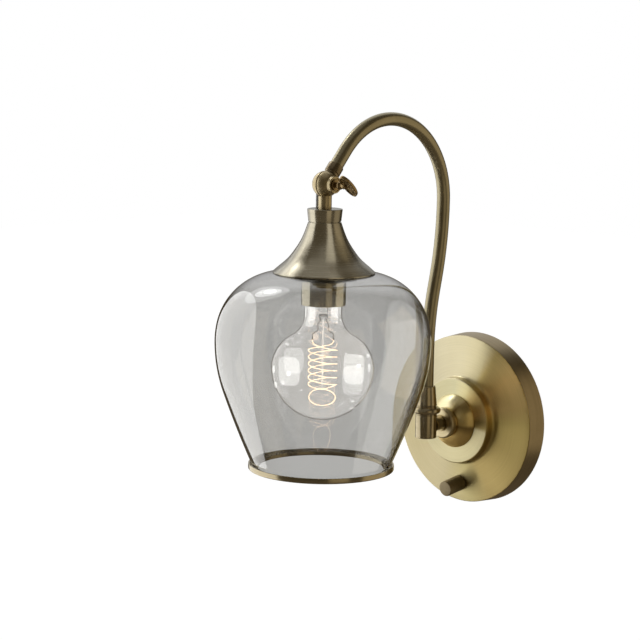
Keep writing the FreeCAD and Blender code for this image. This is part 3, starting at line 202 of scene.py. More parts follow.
def circle(centre, side, across, radius, sides):
    """Points about a centre in metres, with the radius in millimetres."""
    return [centre + (side * math.cos(angle) + across * math.sin(angle)) * radius * MM
            for angle in turns(sides)]


def lathe(name, outline, axis, material, segments=128, closed=True, slots=None):
    """Turns an outline about an axis, a place with a direction. Its points on the axis become poles."""
    origin, direction = axis
    side, across, along = basis_for(direction)
    rings, lengths = [], [0.0]
    for here, after in zip(outline, outline[1:] + outline[:1]):
        centre = origin + along * here[1] * MM
        rings.append(circle(centre, side, across, here[0], segments) if here[0] > SAME_PLACE else [centre])
        lengths.append(lengths[-1] + math.dist(here, after) * MM)
    return loft(name, rings, lengths, material, closed, slots)


def tube(name, path, radius, material, sides=24):
    """A round bar along points in metres, with a radius in millimetres or a list of them."""
    radii = radius if isinstance(radius, list) else [radius] * len(path)
    rings, lengths = [], [0.0]
    for index, point in enumerate(path):
        before, after = path[max(index - 1, 0)], path[min(index + 1, len(path) - 1)]
        tangent = (after - before).normalized()
        if index:
            lengths.append(lengths[-1] + (point - before).length)
            side = (side - tangent * side.dot(tangent)).normalized()
        else:
            side = basis_for(tangent)[0]
        rings.append(circle(point, side, tangent.cross(side), radii[index], sides))
    return loft(name, rings, lengths, material)


def combine(name, things):
    """Joins pieces into one, with the first one's materials."""
    work = bmesh.new()
    for thing in things:
        work.from_mesh(thing.data)
    mesh = bpy.data.meshes.new(name)
    work.to_mesh(mesh)
    work.free()
    for one in things[0].data.materials:
        mesh.materials.append(one)
    for thing in things:
        bpy.data.objects.remove(thing)
    return new_object(name, mesh)


def cut(thing, cutter):
    """Takes the cutter's form out of a piece and removes the cutter."""
    step = thing.modifiers.new("cut", "BOOLEAN")
    step.operation = "DIFFERENCE"
    step.solver = "EXACT"
    step.object = cutter
    graph = bpy.context.evaluated_depsgraph_get()
    mesh = bpy.data.meshes.new_from_object(thing.evaluated_get(graph))
    thing.modifiers.clear()
    thing.data = mesh
    bpy.data.objects.remove(cutter)
    smooth(mesh)
    return thing


def second_material(thing):
    thing.data.polygons.foreach_set("material_index", [1] * len(thing.data.polygons))


def place(thing, body, node):
    """Puts a finished piece on its body, and hides the CAD node that it stands for."""
    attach(thing, body)
    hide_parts(node)


def turned(name, outline, axis, material, segments, body, slot, node, **form):
    place(lathe(name, outline, axis, material, segments, **form), body, node)


# Materials

def viewer_axes(azimuth, pitch, roll):
    """The viewer's right, up and back in the room, from three angles in degrees."""
    azimuth, pitch, roll = (math.radians(angle) for angle in (azimuth, pitch, roll))
    back = Vector((math.sin(azimuth) * math.cos(pitch), -math.cos(azimuth) * math.cos(pitch), math.sin(pitch)))
    right = Vector((math.cos(azimuth), math.sin(azimuth), 0))
    up = back.cross(right)
    return right * math.cos(roll) + up * math.sin(roll), up * math.cos(roll) - right * math.sin(roll), back


VIEW = viewer_axes(43.83, 8.42, 0.88)


class Nodes:
    """A short way to write node trees."""

    def __init__(self, name, tree=None):
        self.tree = tree
        if not tree:
            self.material = bpy.data.materials.new(name)
            self.material.use_nodes = True
            self.tree = self.material.node_tree
            self.shader = self.tree.nodes["Principled BSDF"]
            self.output = self.tree.nodes["Material Output"]

    def put(self, target, value):
        """A socket's constant, where a colour needs no alpha, or its link to another socket."""
        if isinstance(value, bpy.types.NodeSocket):
            self.tree.links.new(value, target)
        else:
            target.default_value = (*value, 1) if target.type == "RGBA" else value

    def add(self, kind, *values, **settings):
        """A new node with its settings, and with values for its first sockets."""
        node = self.tree.nodes.new(kind)
        for key, value in settings.items():
            setattr(node, key, value)
        for socket, value in zip(node.inputs, values):
            self.put(socket, value)
        return node

    def fill(self, node, **values):
        """Sets sockets by name, with _ for a space."""
        for name, value in values.items():
            self.put(node.inputs[name.replace("_", " ")], value)
        return node

    def math(self, operation, *values):
        return self.add("ShaderNodeMath", *values, operation=operation).outputs[0]

    def times(self, first, second):
        return self.math("MULTIPLY", first, second)

    def spread(self, value, low, high, to_low=0.0, to_high=1.0):
        return self.add("ShaderNodeMapRange", value, low, high, to_low, to_high).outputs[0]

    def noise(self, vector, scale, detail=3, roughness=0.55):
        node = self.add("ShaderNodeTexNoise")
        return self.fill(node, Vector=vector, Scale=scale, Detail=detail, Roughness=roughness).outputs["Fac"]

    def mix(self, factor, first, second):
        node = self.add("ShaderNodeMix", factor, data_type="RGBA")
        self.put(node.inputs[6], first)
        self.put(node.inputs[7], second)
        return node.outputs[2]

    def blend(self, factor, first, second):
        """Two shaders, or shader nodes' outputs, mixed."""
        return self.add("ShaderNodeMixShader", factor, first, second).outputs[0]

    def clear(self, colour=WHITE):
        return self.add("ShaderNodeBsdfTransparent", colour).outputs[0]

    def place(self):
        return self.add("ShaderNodeTexCoord").outputs["Object"]

    def split(self, vector):
        return self.add("ShaderNodeSeparateXYZ", vector).outputs

    def scaled(self, vector, factor):
        node = self.add("ShaderNodeVectorMath", vector, operation="SCALE")
        return self.fill(node, Scale=factor).outputs[0]

    def along(self, vector, axis):
        """How far a vector points along a fixed world axis."""
        return self.add("ShaderNodeVectorMath", vector, axis, operation="DOT_PRODUCT").outputs["Value"]

    def facing(self):
        """0 where the surface is seen straight on and 1 where it is seen edge on."""
        return self.add("ShaderNodeLayerWeight", 0.5).outputs["Facing"]

    def around(self):
        """The turned surface's own angle, as cosine and sine, and its length along the outline in metres."""
        parts = self.split(self.add("ShaderNodeUVMap", uv_map="around").outputs[0])
        angle = self.times(parts[0], FULL_TURN)
        return self.math("COSINE", angle), self.math("SINE", angle), parts[1]

    def brushed(self, about, onward, detail=3, roughness=0.6):
        """Noise on a turned surface, stretched by two scales: about the axis and onward along the outline."""
        cosine, sine, run = self.around()
        stretched = self.add("ShaderNodeCombineXYZ", self.times(cosine, about), self.times(sine, about),
                             self.times(run, onward))
        return self.noise(stretched.outputs[0], 1.0, detail, roughness)

    def sectors(self, parts, stops):
        """Half a painted sheen tint by the clock angle about the wall axis, from (degrees from the top, tint)
        stops.
        """
        turn = self.math("ARCTAN2", parts[0], parts[2])
        ramp = self.add("ShaderNodeValToRGB", self.math("FRACT", self.math("DIVIDE", turn, FULL_TURN)))
        marks = ramp.color_ramp.elements
        while len(marks) < len(stops):
            marks.new(0.5)
        for mark, (degrees, tint) in zip(marks, stops):
            mark.position = degrees / 360
            mark.color = (*(part / 2 for part in tint), 1)
        return ramp.outputs[0]

    def pane(self, across, up, centre, half):
        """1 inside a rounded rectangle of two values, 0 outside."""
        fourths = []
        for value, middle, reach in zip((across, up), centre, half):
            far = self.math("DIVIDE", self.math("SUBTRACT", value, middle), reach)
            square = self.times(far, far)
            fourths.append(self.times(square, square))
        return self.spread(self.math("ADD", *fourths), 1.0, 0.7)

    def bump(self, height, strength, distance):
        node = self.fill(self.add("ShaderNodeBump"), Strength=strength, Distance=distance, Height=height)
        self.fill(self.shader, Normal=node.outputs[0])

    def rays(self):
        """Camera rays, rays that only went straight through glass, and rays that nothing has mirrored."""
        path = self.add("ShaderNodeLightPath").outputs
        straight = self.math("LESS_THAN", path["Glossy Depth"], 0.5)
        return path["Is Camera Ray"], self.times(path["Is Transmission Ray"], straight), straight

    def show(self, shader):
        self.fill(self.output, Surface=shader)


DISC_EDGE = (0.0412, 0.0420)


def brass(name, light, dark, rough, blotch, wear, brush="around", lines=1500, ridges=0.04, anisotropic=0.0,
          axis=None, sheen=None, middle=None, outline=None):
    """Satin brass with brush lines round or along the piece, cloudy patina and paler worn edges. sheen gives
    clock-angle tints that paint highlights and shade on the spun sectors, and middle does the same for those
    inside the raised disc's edge. outline darkens what is seen edge on, as painted shade."""
    tree = Nodes(name)
    if brush == "around":
        fine, coarse = tree.brushed(0.6, lines * 3.2), tree.brushed(1.2, lines * 0.5)
    elif brush == "along":
        fine, coarse = tree.brushed(16, 9, 4, 0.65), tree.brushed(3, 14)
    else:
        fine, coarse = tree.noise(tree.place(), 900, 4), tree.noise(tree.place(), 160)
    cloud = tree.noise(tree.place(), blotch, 4, 0.6)
    edge = tree.spread(tree.add("ShaderNodeNewGeometry").outputs["Pointiness"], 0.46, 0.56)
    tone = tree.math("ADD", tree.times(tree.spread(coarse, 0.3, 0.7), 0.4),
                     tree.times(tree.spread(cloud, 0.32, 0.68), 0.6))
    tone = tree.math("ADD", tone, tree.times(tree.math("SUBTRACT", edge, 0.45), wear * 2))
    shade = tree.mix(tree.spread(tone, 0.05, 0.95), dark, light)
    shade = tree.scaled(shade, tree.spread(fine, 0.25, 0.75, 0.9, 1.06))
    # Painted sheen: light and dark tints by clock angle stand in for the spun metal's highlights and shade.
    if sheen:
        parts = tree.split(tree.place())
        tint = tree.sectors(parts, sheen)
        if middle:
            squares = tree.math("ADD", tree.times(parts[0], parts[0]), tree.times(parts[2], parts[2]))
            reach = tree.math("SQRT", squares)
            tint = tree.mix(tree.spread(reach, *DISC_EDGE), tree.sectors(parts, middle), tint)
        product = tree.add("ShaderNodeVectorMath", shade, tint, operation="MULTIPLY")
        shade = tree.scaled(product.outputs[0], 2.0)
    # Painted shade: the colour darkens where the surface is seen edge on.
    if outline:
        shade = tree.scaled(shade, tree.spread(tree.facing(), 0.40, 0.60, 1.0, outline))
    tree.fill(tree.shader, Base_Color=shade, Metallic=1.0, IOR=1.5, Anisotropic=anisotropic,
              Anisotropic_Rotation=0.25, Roughness=tree.spread(fine, 0.25, 0.75, rough - 0.015, rough + 0.03))
    tree.bump(fine, ridges, 0.00006)
    if axis:
        tangent = tree.add("ShaderNodeTangent", direction_type="RADIAL", axis=axis)
        tree.fill(tree.shader, Tangent=tangent.outputs[0])
    return tree.material


def plain(name, light, dark, rough, metallic=0.0, scale=180, bump=0.0002, spread=0.08):
    """A mottled solid colour with a fine uneven surface."""
    tree = Nodes(name)
    fine, cloud = tree.noise(tree.place(), scale * 4, 4), tree.noise(tree.place(), scale * 0.4)
    tree.fill(tree.shader, Base_Color=tree.mix(tree.spread(cloud, 0.3, 0.7), dark, light), Metallic=metallic,
              Roughness=tree.spread(fine, 0.3, 0.7, rough - spread, rough + spread))
    tree.bump(fine, 0.25, bump)
    return tree.material


def glass_tint(tree, colour, leaving):
    """The tint on the way in, black where the way through the wall is long, and the fainter one on the way out.
    A look in through the open mouth is tinted on the way out, also past the bulb, which has four surfaces."""
    side = tree.add("ShaderNodeNewGeometry").outputs["Backfacing"]
    entering = tree.mix(tree.spread(tree.facing(), 0.70, 0.88), colour, (0.01, 0.01, 0.01))
    path = tree.add("ShaderNodeLightPath").outputs
    crossed = path["Transmission Depth"]
    past_bulb = tree.math("LESS_THAN", tree.math("ABSOLUTE", tree.math("SUBTRACT", crossed, 5.0)), 0.5)
    by_mouth = tree.math("MAXIMUM", tree.math("LESS_THAN", crossed, 1.5), past_bulb)
    by_mouth = tree.times(by_mouth, tree.math("LESS_THAN", path["Glossy Depth"], 0.5))
    return tree.mix(side, entering, tree.mix(by_mouth, leaving, colour))


OUTSIDE_LENGTH = 0.16


def painted_window_light(tree, painted_panes):
    """Painted window reflections: soft light patches on the front of the bulb, on the outer part of its
    outline.
    """
    right, up, back = VIEW
    normal = tree.add("ShaderNodeNewGeometry").outputs["Normal"]
    across, high = tree.along(normal, right), tree.along(normal, up)
    light = 0.0
    for centre, half, strength in painted_panes:
        light = tree.math("MAXIMUM", light, tree.times(tree.pane(across, high, centre, half), strength))
    near = tree.math("GREATER_THAN", tree.along(normal, back), 0.0)
    outside = tree.math("LESS_THAN", tree.around()[2], OUTSIDE_LENGTH)
    streaks = tree.spread(tree.noise(tree.place(), 40, 3, 0.6), 0.3, 0.7, 0.85, 1.1)
    return tree.times(tree.times(light, tree.times(near, outside)), streaks)


def glass(name, colour, index, ripple=0.0, painted_glow=None, leaving=None, painted_panes=()):
    """Clear glass that lets shadow rays through, with a slight waviness. The haze argument is a painted glow,
    as strength and colour face on and at the edge. The panes argument is painted window reflections, as place,
    half size and strength by VIEW's axes."""
    tree = Nodes(name)
    film = tree.noise(tree.place(), 55, 4, 0.6)
    tree.fill(tree.shader, Base_Color=colour, Transmission_Weight=1.0, IOR=index,
              Roughness=tree.spread(film, 0.35, 0.75, 0.0, 0.02))
    if leaving:
        tree.fill(tree.shader, Base_Color=glass_tint(tree, colour, leaving))
    if ripple:
        tree.bump(tree.noise(tree.place(), 26, 2, 0.4), ripple, 0.0006)
    # Painted glow: the glass gives off a faint light of its own, face on and at the edge.
    if painted_glow:
        straight_on, warm, sideways, cool = painted_glow
        glow = tree.mix(tree.math("POWER", tree.facing(), 3.0), [straight_on * part for part in warm],
                        [sideways * part for part in cool])
        if painted_panes:
            # Painted reflection: the window patches lift the glow to near white.
            glow = tree.mix(painted_window_light(tree, painted_panes), glow, (1.4, 1.38, 1.37))
        tree.fill(tree.shader, Emission_Color=glow, Emission_Strength=1.0)
    shadow = tree.add("ShaderNodeLightPath").outputs["Is Shadow Ray"]
    tree.show(tree.blend(shadow, tree.shader.outputs[0], tree.clear(colour)))
    return tree.material


def glowing(name, core, edge, strength):
    """A hot wire, a little uneven along its length."""
    tree = Nodes(name)
    uneven = tree.noise(tree.place(), 260, 2)
    tree.fill(tree.shader, Base_Color=(0.4, 0.2, 0.08),
              Emission_Color=tree.mix(tree.spread(uneven, 0.3, 0.7), edge, core),
              Emission_Strength=tree.spread(uneven, 0.2, 0.8, strength * 0.85, strength * 1.1))
    return tree.material


# Painted sheen of the spun sectors by clock angle, and painted window reflections on the bulb

FACE_PAINTED_SHEEN = (
    (0, (1.12, 1.12, 1.20)), (23, (1.24, 1.21, 1.16)), (30, (1.24, 1.08, 0.72)), (50, (1.55, 1.24, 0.80)),
    (72, (1.50, 1.22, 0.80)), (86, (1.04, 0.90, 0.52)), (112, (0.88, 0.75, 0.45)), (152, (0.82, 0.70, 0.46)),
    (172, (0.96, 0.92, 0.72)), (200, (0.90, 0.87, 0.85)), (255, (0.90, 0.86, 0.80)), (325, (1.0, 1.0, 1.10)),
    (360, (1.12, 1.12, 1.20)))
DISC_PAINTED_SHEEN = (
    (0, (0.97, 1.0, 1.0)), (28, (1.30, 1.27, 1.10)), (50, (1.80, 1.50, 0.98)), (72, (1.60, 1.30, 0.95)),
    (84, (0.70, 0.58, 0.36)), (94, (0.62, 0.52, 0.32)), (100, (1.02, 1.0, 0.96)), (140, (1.0, 1.0, 0.95)),
    (200, (1.02, 1.02, 1.0)), (300, (1.0, 1.0, 0.98)), (360, (0.97, 1.0, 1.0)))
BOSS_PAINTED_SHEEN = (
    (0, (1.60, 1.66, 1.75)), (28, (1.60, 1.55, 1.35)), (38, (0.85, 0.70, 0.45)), (48, (1.1, 0.98, 0.70)),
    (62, (1.55, 1.40, 1.00)), (92, (1.35, 1.18, 0.80)), (100, (0.75, 0.60, 0.36)), (118, (1.30, 1.08, 0.68)),
    (180, (1.30, 1.05, 0.62)), (270, (1.1, 1.0, 0.75)), (330, (1.45, 1.50, 1.50)), (360, (1.60, 1.66, 1.75)))
# Painted window reflections on the bulb, as place, half size and strength by VIEW's axes.
PAINTED_WINDOW_REFLECTIONS = (
    ((-0.632, 0.015), (0.215, 0.348), 0.50), ((0.569, -0.181), (0.206, 0.328), 0.33),
    ((-0.755, -0.265), (0.035, 0.04), 0.9), ((0.68, 0.13), (0.04, 0.045), 0.95),
    ((-0.935, 0.0), (0.022, 0.09), 0.9), ((-0.905, -0.32), (0.03, 0.06), 0.8),
    ((-0.60, 0.676), (0.035, 0.02), 0.8), ((0.42, 0.46), (0.018, 0.02), 0.8),
    ((0.60, -0.77), (0.09, 0.018), 0.6))
WARM = (1.0, 0.93, 0.87)

plate_brass = brass("plate_brass", (0.60, 0.545, 0.345), (0.53, 0.475, 0.285), 0.33, 14, 0.15,
                    anisotropic=0.85, axis="Y", sheen=FACE_PAINTED_SHEEN, middle=DISC_PAINTED_SHEEN)
# A darker copy of the plate brass for the plate's rim side: painted shade.
shaded_rim_brass = brass("shaded_rim_brass", (0.40, 0.32, 0.19), (0.29, 0.23, 0.13), 0.36, 14, 0.15,
                  anisotropic=0.6, axis="Y")
boss_brass = brass("boss_brass", (0.60, 0.53, 0.33), (0.52, 0.45, 0.26), 0.33, 30, 0.2,
                   anisotropic=0.8, axis="Y", sheen=BOSS_PAINTED_SHEEN)
hub_brass = brass("hub_brass", (0.62, 0.53, 0.33), (0.50, 0.42, 0.25), 0.30, 60, 0.3,
                  anisotropic=0.4, axis="Y")
turned_brass = brass("turned_brass", (0.45, 0.385, 0.25), (0.35, 0.295, 0.185), 0.24, 60, 0.3,
                     anisotropic=0.5, axis="Z")
knob_brass = brass("knob_brass", (0.35, 0.29, 0.18), (0.27, 0.22, 0.135), 0.55, 60, 0.3, anisotropic=0.3)
cap_brass = brass("cap_brass", (0.61, 0.565, 0.45), (0.51, 0.47, 0.36), 0.25, 30, 0.2, lines=1200,
                  ridges=0.015, outline=0.4, anisotropic=0.7, axis="Z")
cup_brass = brass("cup_brass", (0.92, 0.87, 0.71), (0.84, 0.78, 0.62), 0.17, 30, 0.1, lines=1200,
                  anisotropic=0.6, axis="Z")
arm_brass = brass("arm_brass", (0.41, 0.365, 0.24), (0.33, 0.29, 0.185), 0.30, 26, 0.1, "along", ridges=0.01)
ball_brass = brass("ball_brass", (0.56, 0.47, 0.29), (0.44, 0.36, 0.21), 0.36, 70, 0.25, "none")
neck_brass = brass("neck_brass", (0.28, 0.225, 0.14), (0.18, 0.14, 0.085), 0.27, 90, 0.4, "none")
screw_brass = brass("screw_brass", (0.40, 0.295, 0.15), (0.29, 0.205, 0.10), 0.32, 90, 0.3, "none")
ring_brass = brass("ring_brass", (0.47, 0.41, 0.275), (0.36, 0.305, 0.195), 0.20, 20, 0.3,
                   anisotropic=0.4, axis="Z")
inner_brass = brass("inner_brass", (0.66, 0.56, 0.34), (0.46, 0.37, 0.2), 0.35, 60, 0.2, "none")
zinc = plain("zinc_steel", (0.70, 0.70, 0.68), (0.50, 0.50, 0.50), 0.36, 1.0, 160)
spring_steel = plain("spring_steel", (0.50, 0.50, 0.50), (0.36, 0.36, 0.37), 0.34, 1.0, 200)
dark_metal = plain("dark_metal", (0.09, 0.085, 0.08), (0.04, 0.04, 0.04), 0.38, 0.6, 200)
porcelain = plain("porcelain", (0.88, 0.86, 0.80), (0.80, 0.78, 0.72), 0.16, 0.0, 60, 0.0001, 0.04)
shell_metal = plain("shell_metal", (0.75, 0.75, 0.74), (0.60, 0.60, 0.60), 0.3, 1.0, 120)
black_glass = plain("black_glass", (0.05, 0.05, 0.055), (0.02, 0.02, 0.022), 0.1, 0.0, 60, 0.0001, 0.03)
solder = plain("solder", (0.62, 0.62, 0.63), (0.45, 0.45, 0.46), 0.42, 1.0, 300)
wire_metal = plain("wire_metal", (0.62, 0.58, 0.52), (0.42, 0.39, 0.36), 0.3, 1.0, 400)
rubber = plain("rubber", (0.06, 0.06, 0.06), (0.03, 0.03, 0.03), 0.7, 0.0, 300)
lead_grey = plain("lead_grey", (0.46, 0.47, 0.49), (0.34, 0.35, 0.37), 0.45, 0.0, 500, 0.0004)
switch_black = plain("switch_black", (0.06, 0.06, 0.06), (0.03, 0.03, 0.03), 0.45, 0.0, 300)
ground_rim = plain("ground_rim", (0.93, 0.93, 0.93), (0.84, 0.84, 0.84), 0.6, 0.0, 200)
shade_clear = glass("shade_clear", (0.236, 0.238, 0.225), 1.80, ripple=0.012, leaving=(0.98, 0.98, 0.98))
shade_inner = glass("shade_inner", WHITE, 1.80, ripple=0.012)
bulb_clear = glass("bulb_clear", WHITE, 1.20, painted_glow=(0.075, (1.0, 0.93, 0.88), 0.36, (0.97, 0.97, 1.0)),
                   painted_panes=PAINTED_WINDOW_REFLECTIONS)
mount_clear = glass("mount_clear", (0.97, 0.98, 0.98), 1.5, ripple=0.1, painted_glow=(0.03, WARM, 0.03, WARM))
rod_clear = glass("rod_clear", WHITE, 1.4, painted_glow=(0.34, (1.0, 0.90, 0.80), 0.25, (1.0, 0.88, 0.76)))
hot_wire = glowing("hot_wire", (1.0, 0.76, 0.52), (1.0, 0.66, 0.42), 4.4)


# Wall plate and hub

HUB_BORE = 5.2
SHEET = 1.6
DISC_R, DISC_OUT = 42.7, 36.6
FACE_R, FACE_OUT = 83.7, 21.2
RIM_R = 85.1
SLOPE = math.radians(8.0)
SWING_OUT = 78.3
BARREL_R = 10.4
WALL_AXIS = (Vector(), OUT)
SWING_AXIS = (OUT * SWING_OUT * MM, UP)


def heights(node):
    """A node's lowest and highest level, in millimetres."""
    return [corner[2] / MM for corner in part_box(node)]


def face_out(radius):
    """How far the sloping face stands off the wall."""
    return FACE_OUT + (FACE_R - radius) * math.tan(SLOPE)


def build_plate():
    plate = rounded([
        (HUB_BORE, DISC_OUT - SHEET), (HUB_BORE, DISC_OUT), (DISC_R, DISC_OUT, 1.4),
        (DISC_R, face_out(DISC_R), 3.2), (FACE_R, FACE_OUT, 0.9), (RIM_R, 0, 0.3), (RIM_R - SHEET, 0, 0.3),
        (FACE_R - SHEET, FACE_OUT - 1.4, 1.2), (DISC_R - SHEET, face_out(DISC_R - SHEET) - 1.62, 1.2),
        (DISC_R - SHEET, DISC_OUT - SHEET, SHEET)], 8)
    dense = []
    for here, after in zip(plate, plate[1:] + plate[:1]):
        steps = max(1, int(math.dist(here, after) / 6))
        for step in range(steps):
            dense.append(tuple(a + (b - a) * step / steps for a, b in zip(here, after)))
    # Painted shade: the rim side takes the darker copy of the plate brass.
    slots = [int(min(here[0], after[0]) > FACE_R - 0.1 and max(here[1], after[1]) < FACE_OUT - 0.2)
             for here, after in zip(dense, dense[1:] + dense[:1])]
    turned("spun_plate", dense, WALL_AXIS, [plate_brass, shaded_rim_brass], 256, "wall_mount", "plate_brass",
           "back_plate", slots=slots)


def build_hub():
    boss = [(HUB_BORE, 36.65), (26.5, 36.65), (26.5, 37.7)]
    boss += through((26.3, 38.0), (21.8, 43.65), (15.5, 47.45), 16) + [(15.3, 47.6)]
    boss += rounded([(15.0, 47.6), (13.4, 47.6, 0.4), (13.4, 49.6, 0.3), (HUB_BORE, 49.6)])
    turned("turned_boss", boss, WALL_AXIS, boss_brass, 128, "wall_mount", "plate_brass", "hub_boss")

    collar = rounded([(6.25, 49.65), (15.2, 49.65, 1.6), (15.2, 56.2, 1.9),
                      (8.6, 56.2, 0.3), (6.25, 55.0)], 10)
    turned("turned_collar", collar, WALL_AXIS, hub_brass, 128, "wall_mount", "turned_brass", "hub_collar")

    stem = [(0, 52.0), (6.2, 52.0), (6.2, 66.6)] + bend((7.4, 66.6), 1.2, 180, 90, 5)[1:]
    stem += [(7.4, 69.0), (0, 69.0)]
    turned("stem_bar", stem, WALL_AXIS, turned_brass, 64, "wall_mount", "turned_brass", "stem", closed=False)

    tee = rounded([(8.3, -11.0), (BARREL_R, -11.0, 0.6), (BARREL_R, 12.0, 0.5),
                   (5.1, 12.0), (5.1, 8.6), (8.3, 8.6)])
    turned("tee_barrel", tee, SWING_AXIS, turned_brass, 96, "wall_mount", "body_brass", "tee_body")


# Arm

ARM_R = 6.35
ARM_FOOT = 24.1
ARM_SHORT = 13.85
SPINDLE_BORE = 5.1
JOINT_R = 10.5


def arm_points(short):
    """The arm's centre line: straight, a gentle lean out and back, the arch, and the straight to the knuckle,
    which ends short of the tilt axis. Each stretch has a length, or a radius with its turn in degrees."""
    here = np.array([-SWING_OUT, ARM_FOOT])
    turn = 0.0
    points = [here]
    for size, turn_deg in ((75.0 - ARM_FOOT, 0), (264.0, 13.0), (13.0, 0), (330.0, -13.0), (80.0, -139.0),
                             (39.0 - short, 0)):
        steps = max(4, int(abs(turn_deg) / 1.6)) if turn_deg else max(1, int(size / 6))
        angle = math.radians(turn_deg) / steps
        stride = 2 * size * math.sin(abs(angle) / 2) if turn_deg else size / steps
        for _ in range(steps):
            here = here + np.array([math.sin(turn + angle / 2), math.cos(turn + angle / 2)]) * stride
            turn += angle
            points.append(here)
    return [Vector((0, *point)) * MM for point in points]


*_, NEAR_PIVOT, PIVOT = arm_points(0.0)
ARM_END = (NEAR_PIVOT - PIVOT).normalized()


def build_arm():
    place(tube("arm_bar", arm_points(ARM_SHORT), ARM_R, arm_brass, 64), "arm", "arm_tube")

    low, high = heights("friction_ring")
    ring = rounded([(SPINDLE_BORE, low), (JOINT_R, low, 0.4), (JOINT_R, high, 0.4), (SPINDLE_BORE, high)])
    turned("slip_ring", ring, SWING_AXIS, turned_brass, 96, "arm", "turned_brass", "friction_ring")

    low, high = heights("bead_ring")
    bead = [(SPINDLE_BORE, low), (11.0, low)]
    bead += through((11.2, low + 0.05), (14.0, (low + high) / 2), (12.8, high - 0.3), 20)[1:]
    bead += [(12.5, high), (SPINDLE_BORE, high)]
    turned("bead", bead, SWING_AXIS, turned_brass, 128, "arm", "turned_brass", "bead_ring")

    low, high = heights("arm_ferrule")
    ferrule = [(SPINDLE_BORE, low), (JOINT_R, low), (JOINT_R, low + 0.5)]
    ferrule += bend((JOINT_R, low + 1.5), 0.9, -90, -270, 10)
    ferrule += rounded([(10.2, low + 2.6, 0.2), (10.1, low + 3.6, 0.5), (8.35, high - 0.5, 0.4),
                        (7.8, high, 0.3), (6.4, high)]) + [(SPINDLE_BORE, high)]
    turned("flared_ferrule", ferrule, SWING_AXIS, turned_brass, 128, "arm", "body_brass", "arm_ferrule")


# Tilt knuckle: half balls on the two sides of the slit

BALL_R = 12.1
BALL_GAP = 0.35
HALF_SLIT = 0.5


def half_ball(name, radius, direction, start, material, edge=0.35):
    rim = math.sqrt(radius ** 2 - (start + edge) ** 2)
    outline = [(0, start)] + through((rim - edge, start), (rim - 0.08, start + 0.12), (rim, start + edge), 4)
    first = math.degrees(math.asin((start + edge) / radius))
    outline += bend((0, 0), radius, first, 90, 28)[1:-1] + [(0, radius)]
    return lathe(name, outline, (PIVOT, direction), material, 96, closed=False)


def clearance(direction):
    return half_ball("clearance", BALL_R + BALL_GAP, direction, -HALF_SLIT, ball_brass, 0.01)


def build_knuckle():
    upper = half_ball("upper_ball", BALL_R, -ACROSS, HALF_SLIT, [ball_brass, neck_brass])
    collar = rounded([(0, 9.0), (6.7, 9.0), (6.7, 12.7, 0.3), (7.4, 12.7, 0.35), (7.4, 21.2, 0.7),
                      (6.4, 21.2), (6.4, 18.0), (0, 18.0)])
    neck = cut(lathe("upper_neck", collar, (PIVOT, ARM_END), ball_brass, 96, closed=False), clearance(ACROSS))
    second_material(neck)
    place(combine("knuckle_upper", [upper, neck]), "arm", "upper_knuckle")

    lower = half_ball("lower_ball", BALL_R, ACROSS, HALF_SLIT, ball_brass)
    foot = heights("lower_knuckle")[0] - PIVOT.z / MM
    stem = rounded([(0, foot), (6.1, foot), (6.1, -9.6, 1.2), (7.0, -8.0), (7.0, -4.0), (0, -4.0)])
    leg = cut(lathe("lower_neck", stem, (PIVOT, UP), ball_brass, 96, closed=False), clearance(-ACROSS))
    face = rounded([(0, 4.0), (7.8, 4.0), (7.8, 13.0, 0.5), (6.3, 13.0, 0.2), (6.3, 12.2), (2.5, 12.2),
                    (2.5, 6.0), (0, 6.0)])
    boss = lathe("lower_face", face, (PIVOT, ACROSS), ball_brass, 96, closed=False)
    place(combine("knuckle_lower", [lower, leg, boss]), "head", "lower_knuckle")


# Thumb screw

WING_LONG, WING_WIDE = 13.0, 6.5
WING_OUT = 29.0
WING_TURN = math.radians(46.0)


def wing(name, centre, material):
    """An oval thumb plate with a rounded rim and a shallow dish in each face."""
    layers = [(0.0, 0.0), (0.03, 0.9), (0.16, 1.28), (0.42, 1.46), (0.75, 1.5), (1.05, 1.46), (1.3, 1.28),
              (1.55, 1.05), (1.9, 0.92), (3.0, 0.88), (4.6, 0.86)]
    along = Vector((0, -math.sin(WING_TURN), math.cos(WING_TURN)))
    flat = ACROSS.cross(along)
    rings = []
    for inset, height in [(inset, -height) for inset, height in layers[::-1]] + layers[1:]:
        long, wide = along * (WING_LONG - inset), ACROSS * (WING_WIDE - inset)
        rings.append([centre + (long * math.cos(angle) + wide * math.sin(angle) + flat * height) * MM
                      for angle in turns(96)])
    return loft(name, rings, [row * MM for row in range(len(rings))], material)


def build_thumb_screw():
    shank = [(0, -5.0), (2.4, -5.0), (2.4, 13.9), (2.3, 15.6)]
    shank += through((2.6, 16.1), (4.0, 18.2), (3.0, 20.4), 14)
    shank += [(2.7, 20.7), (2.8, 21.6), (3.3, 23.0), (2.6, 25.4), (0, 26.4)]
    screw = lathe("screw_shank", shank, (PIVOT, ACROSS), screw_brass, 64, closed=False)
    blade = wing("screw_wing", PIVOT + ACROSS * WING_OUT * MM, screw_brass)
    place(combine("thumb_wing", [screw, blade]), "thumb", "thumb_screw")
    washer = rounded([(2.45, 12.3), (5.2, 12.3, 0.35), (5.2, 13.9, 0.35), (2.45, 13.9)])
    turned("thumb_washer", washer, (PIVOT, ACROSS), screw_brass, 64, "thumb", "screw_brass", "screw_washer")


# Head: collar, cap, glass, ring, holder and bulb, about the upright axis under the pivot

HEAD = Vector((0, PIVOT.y, 0))
HEAD_AXIS = (HEAD, UP)
HEAD_BORE = 4.9
CAP_TOP_R, CAP_FOOT_R = 15.2, 47.0
CAP_SHARES = ((0.0, 0.0), (0.072, 0.147), (0.204, 0.365), (0.38, 0.562), (0.575, 0.737),
              (0.825, 0.891), (1.0, 1.0))
CAP_SHEET = 1.2


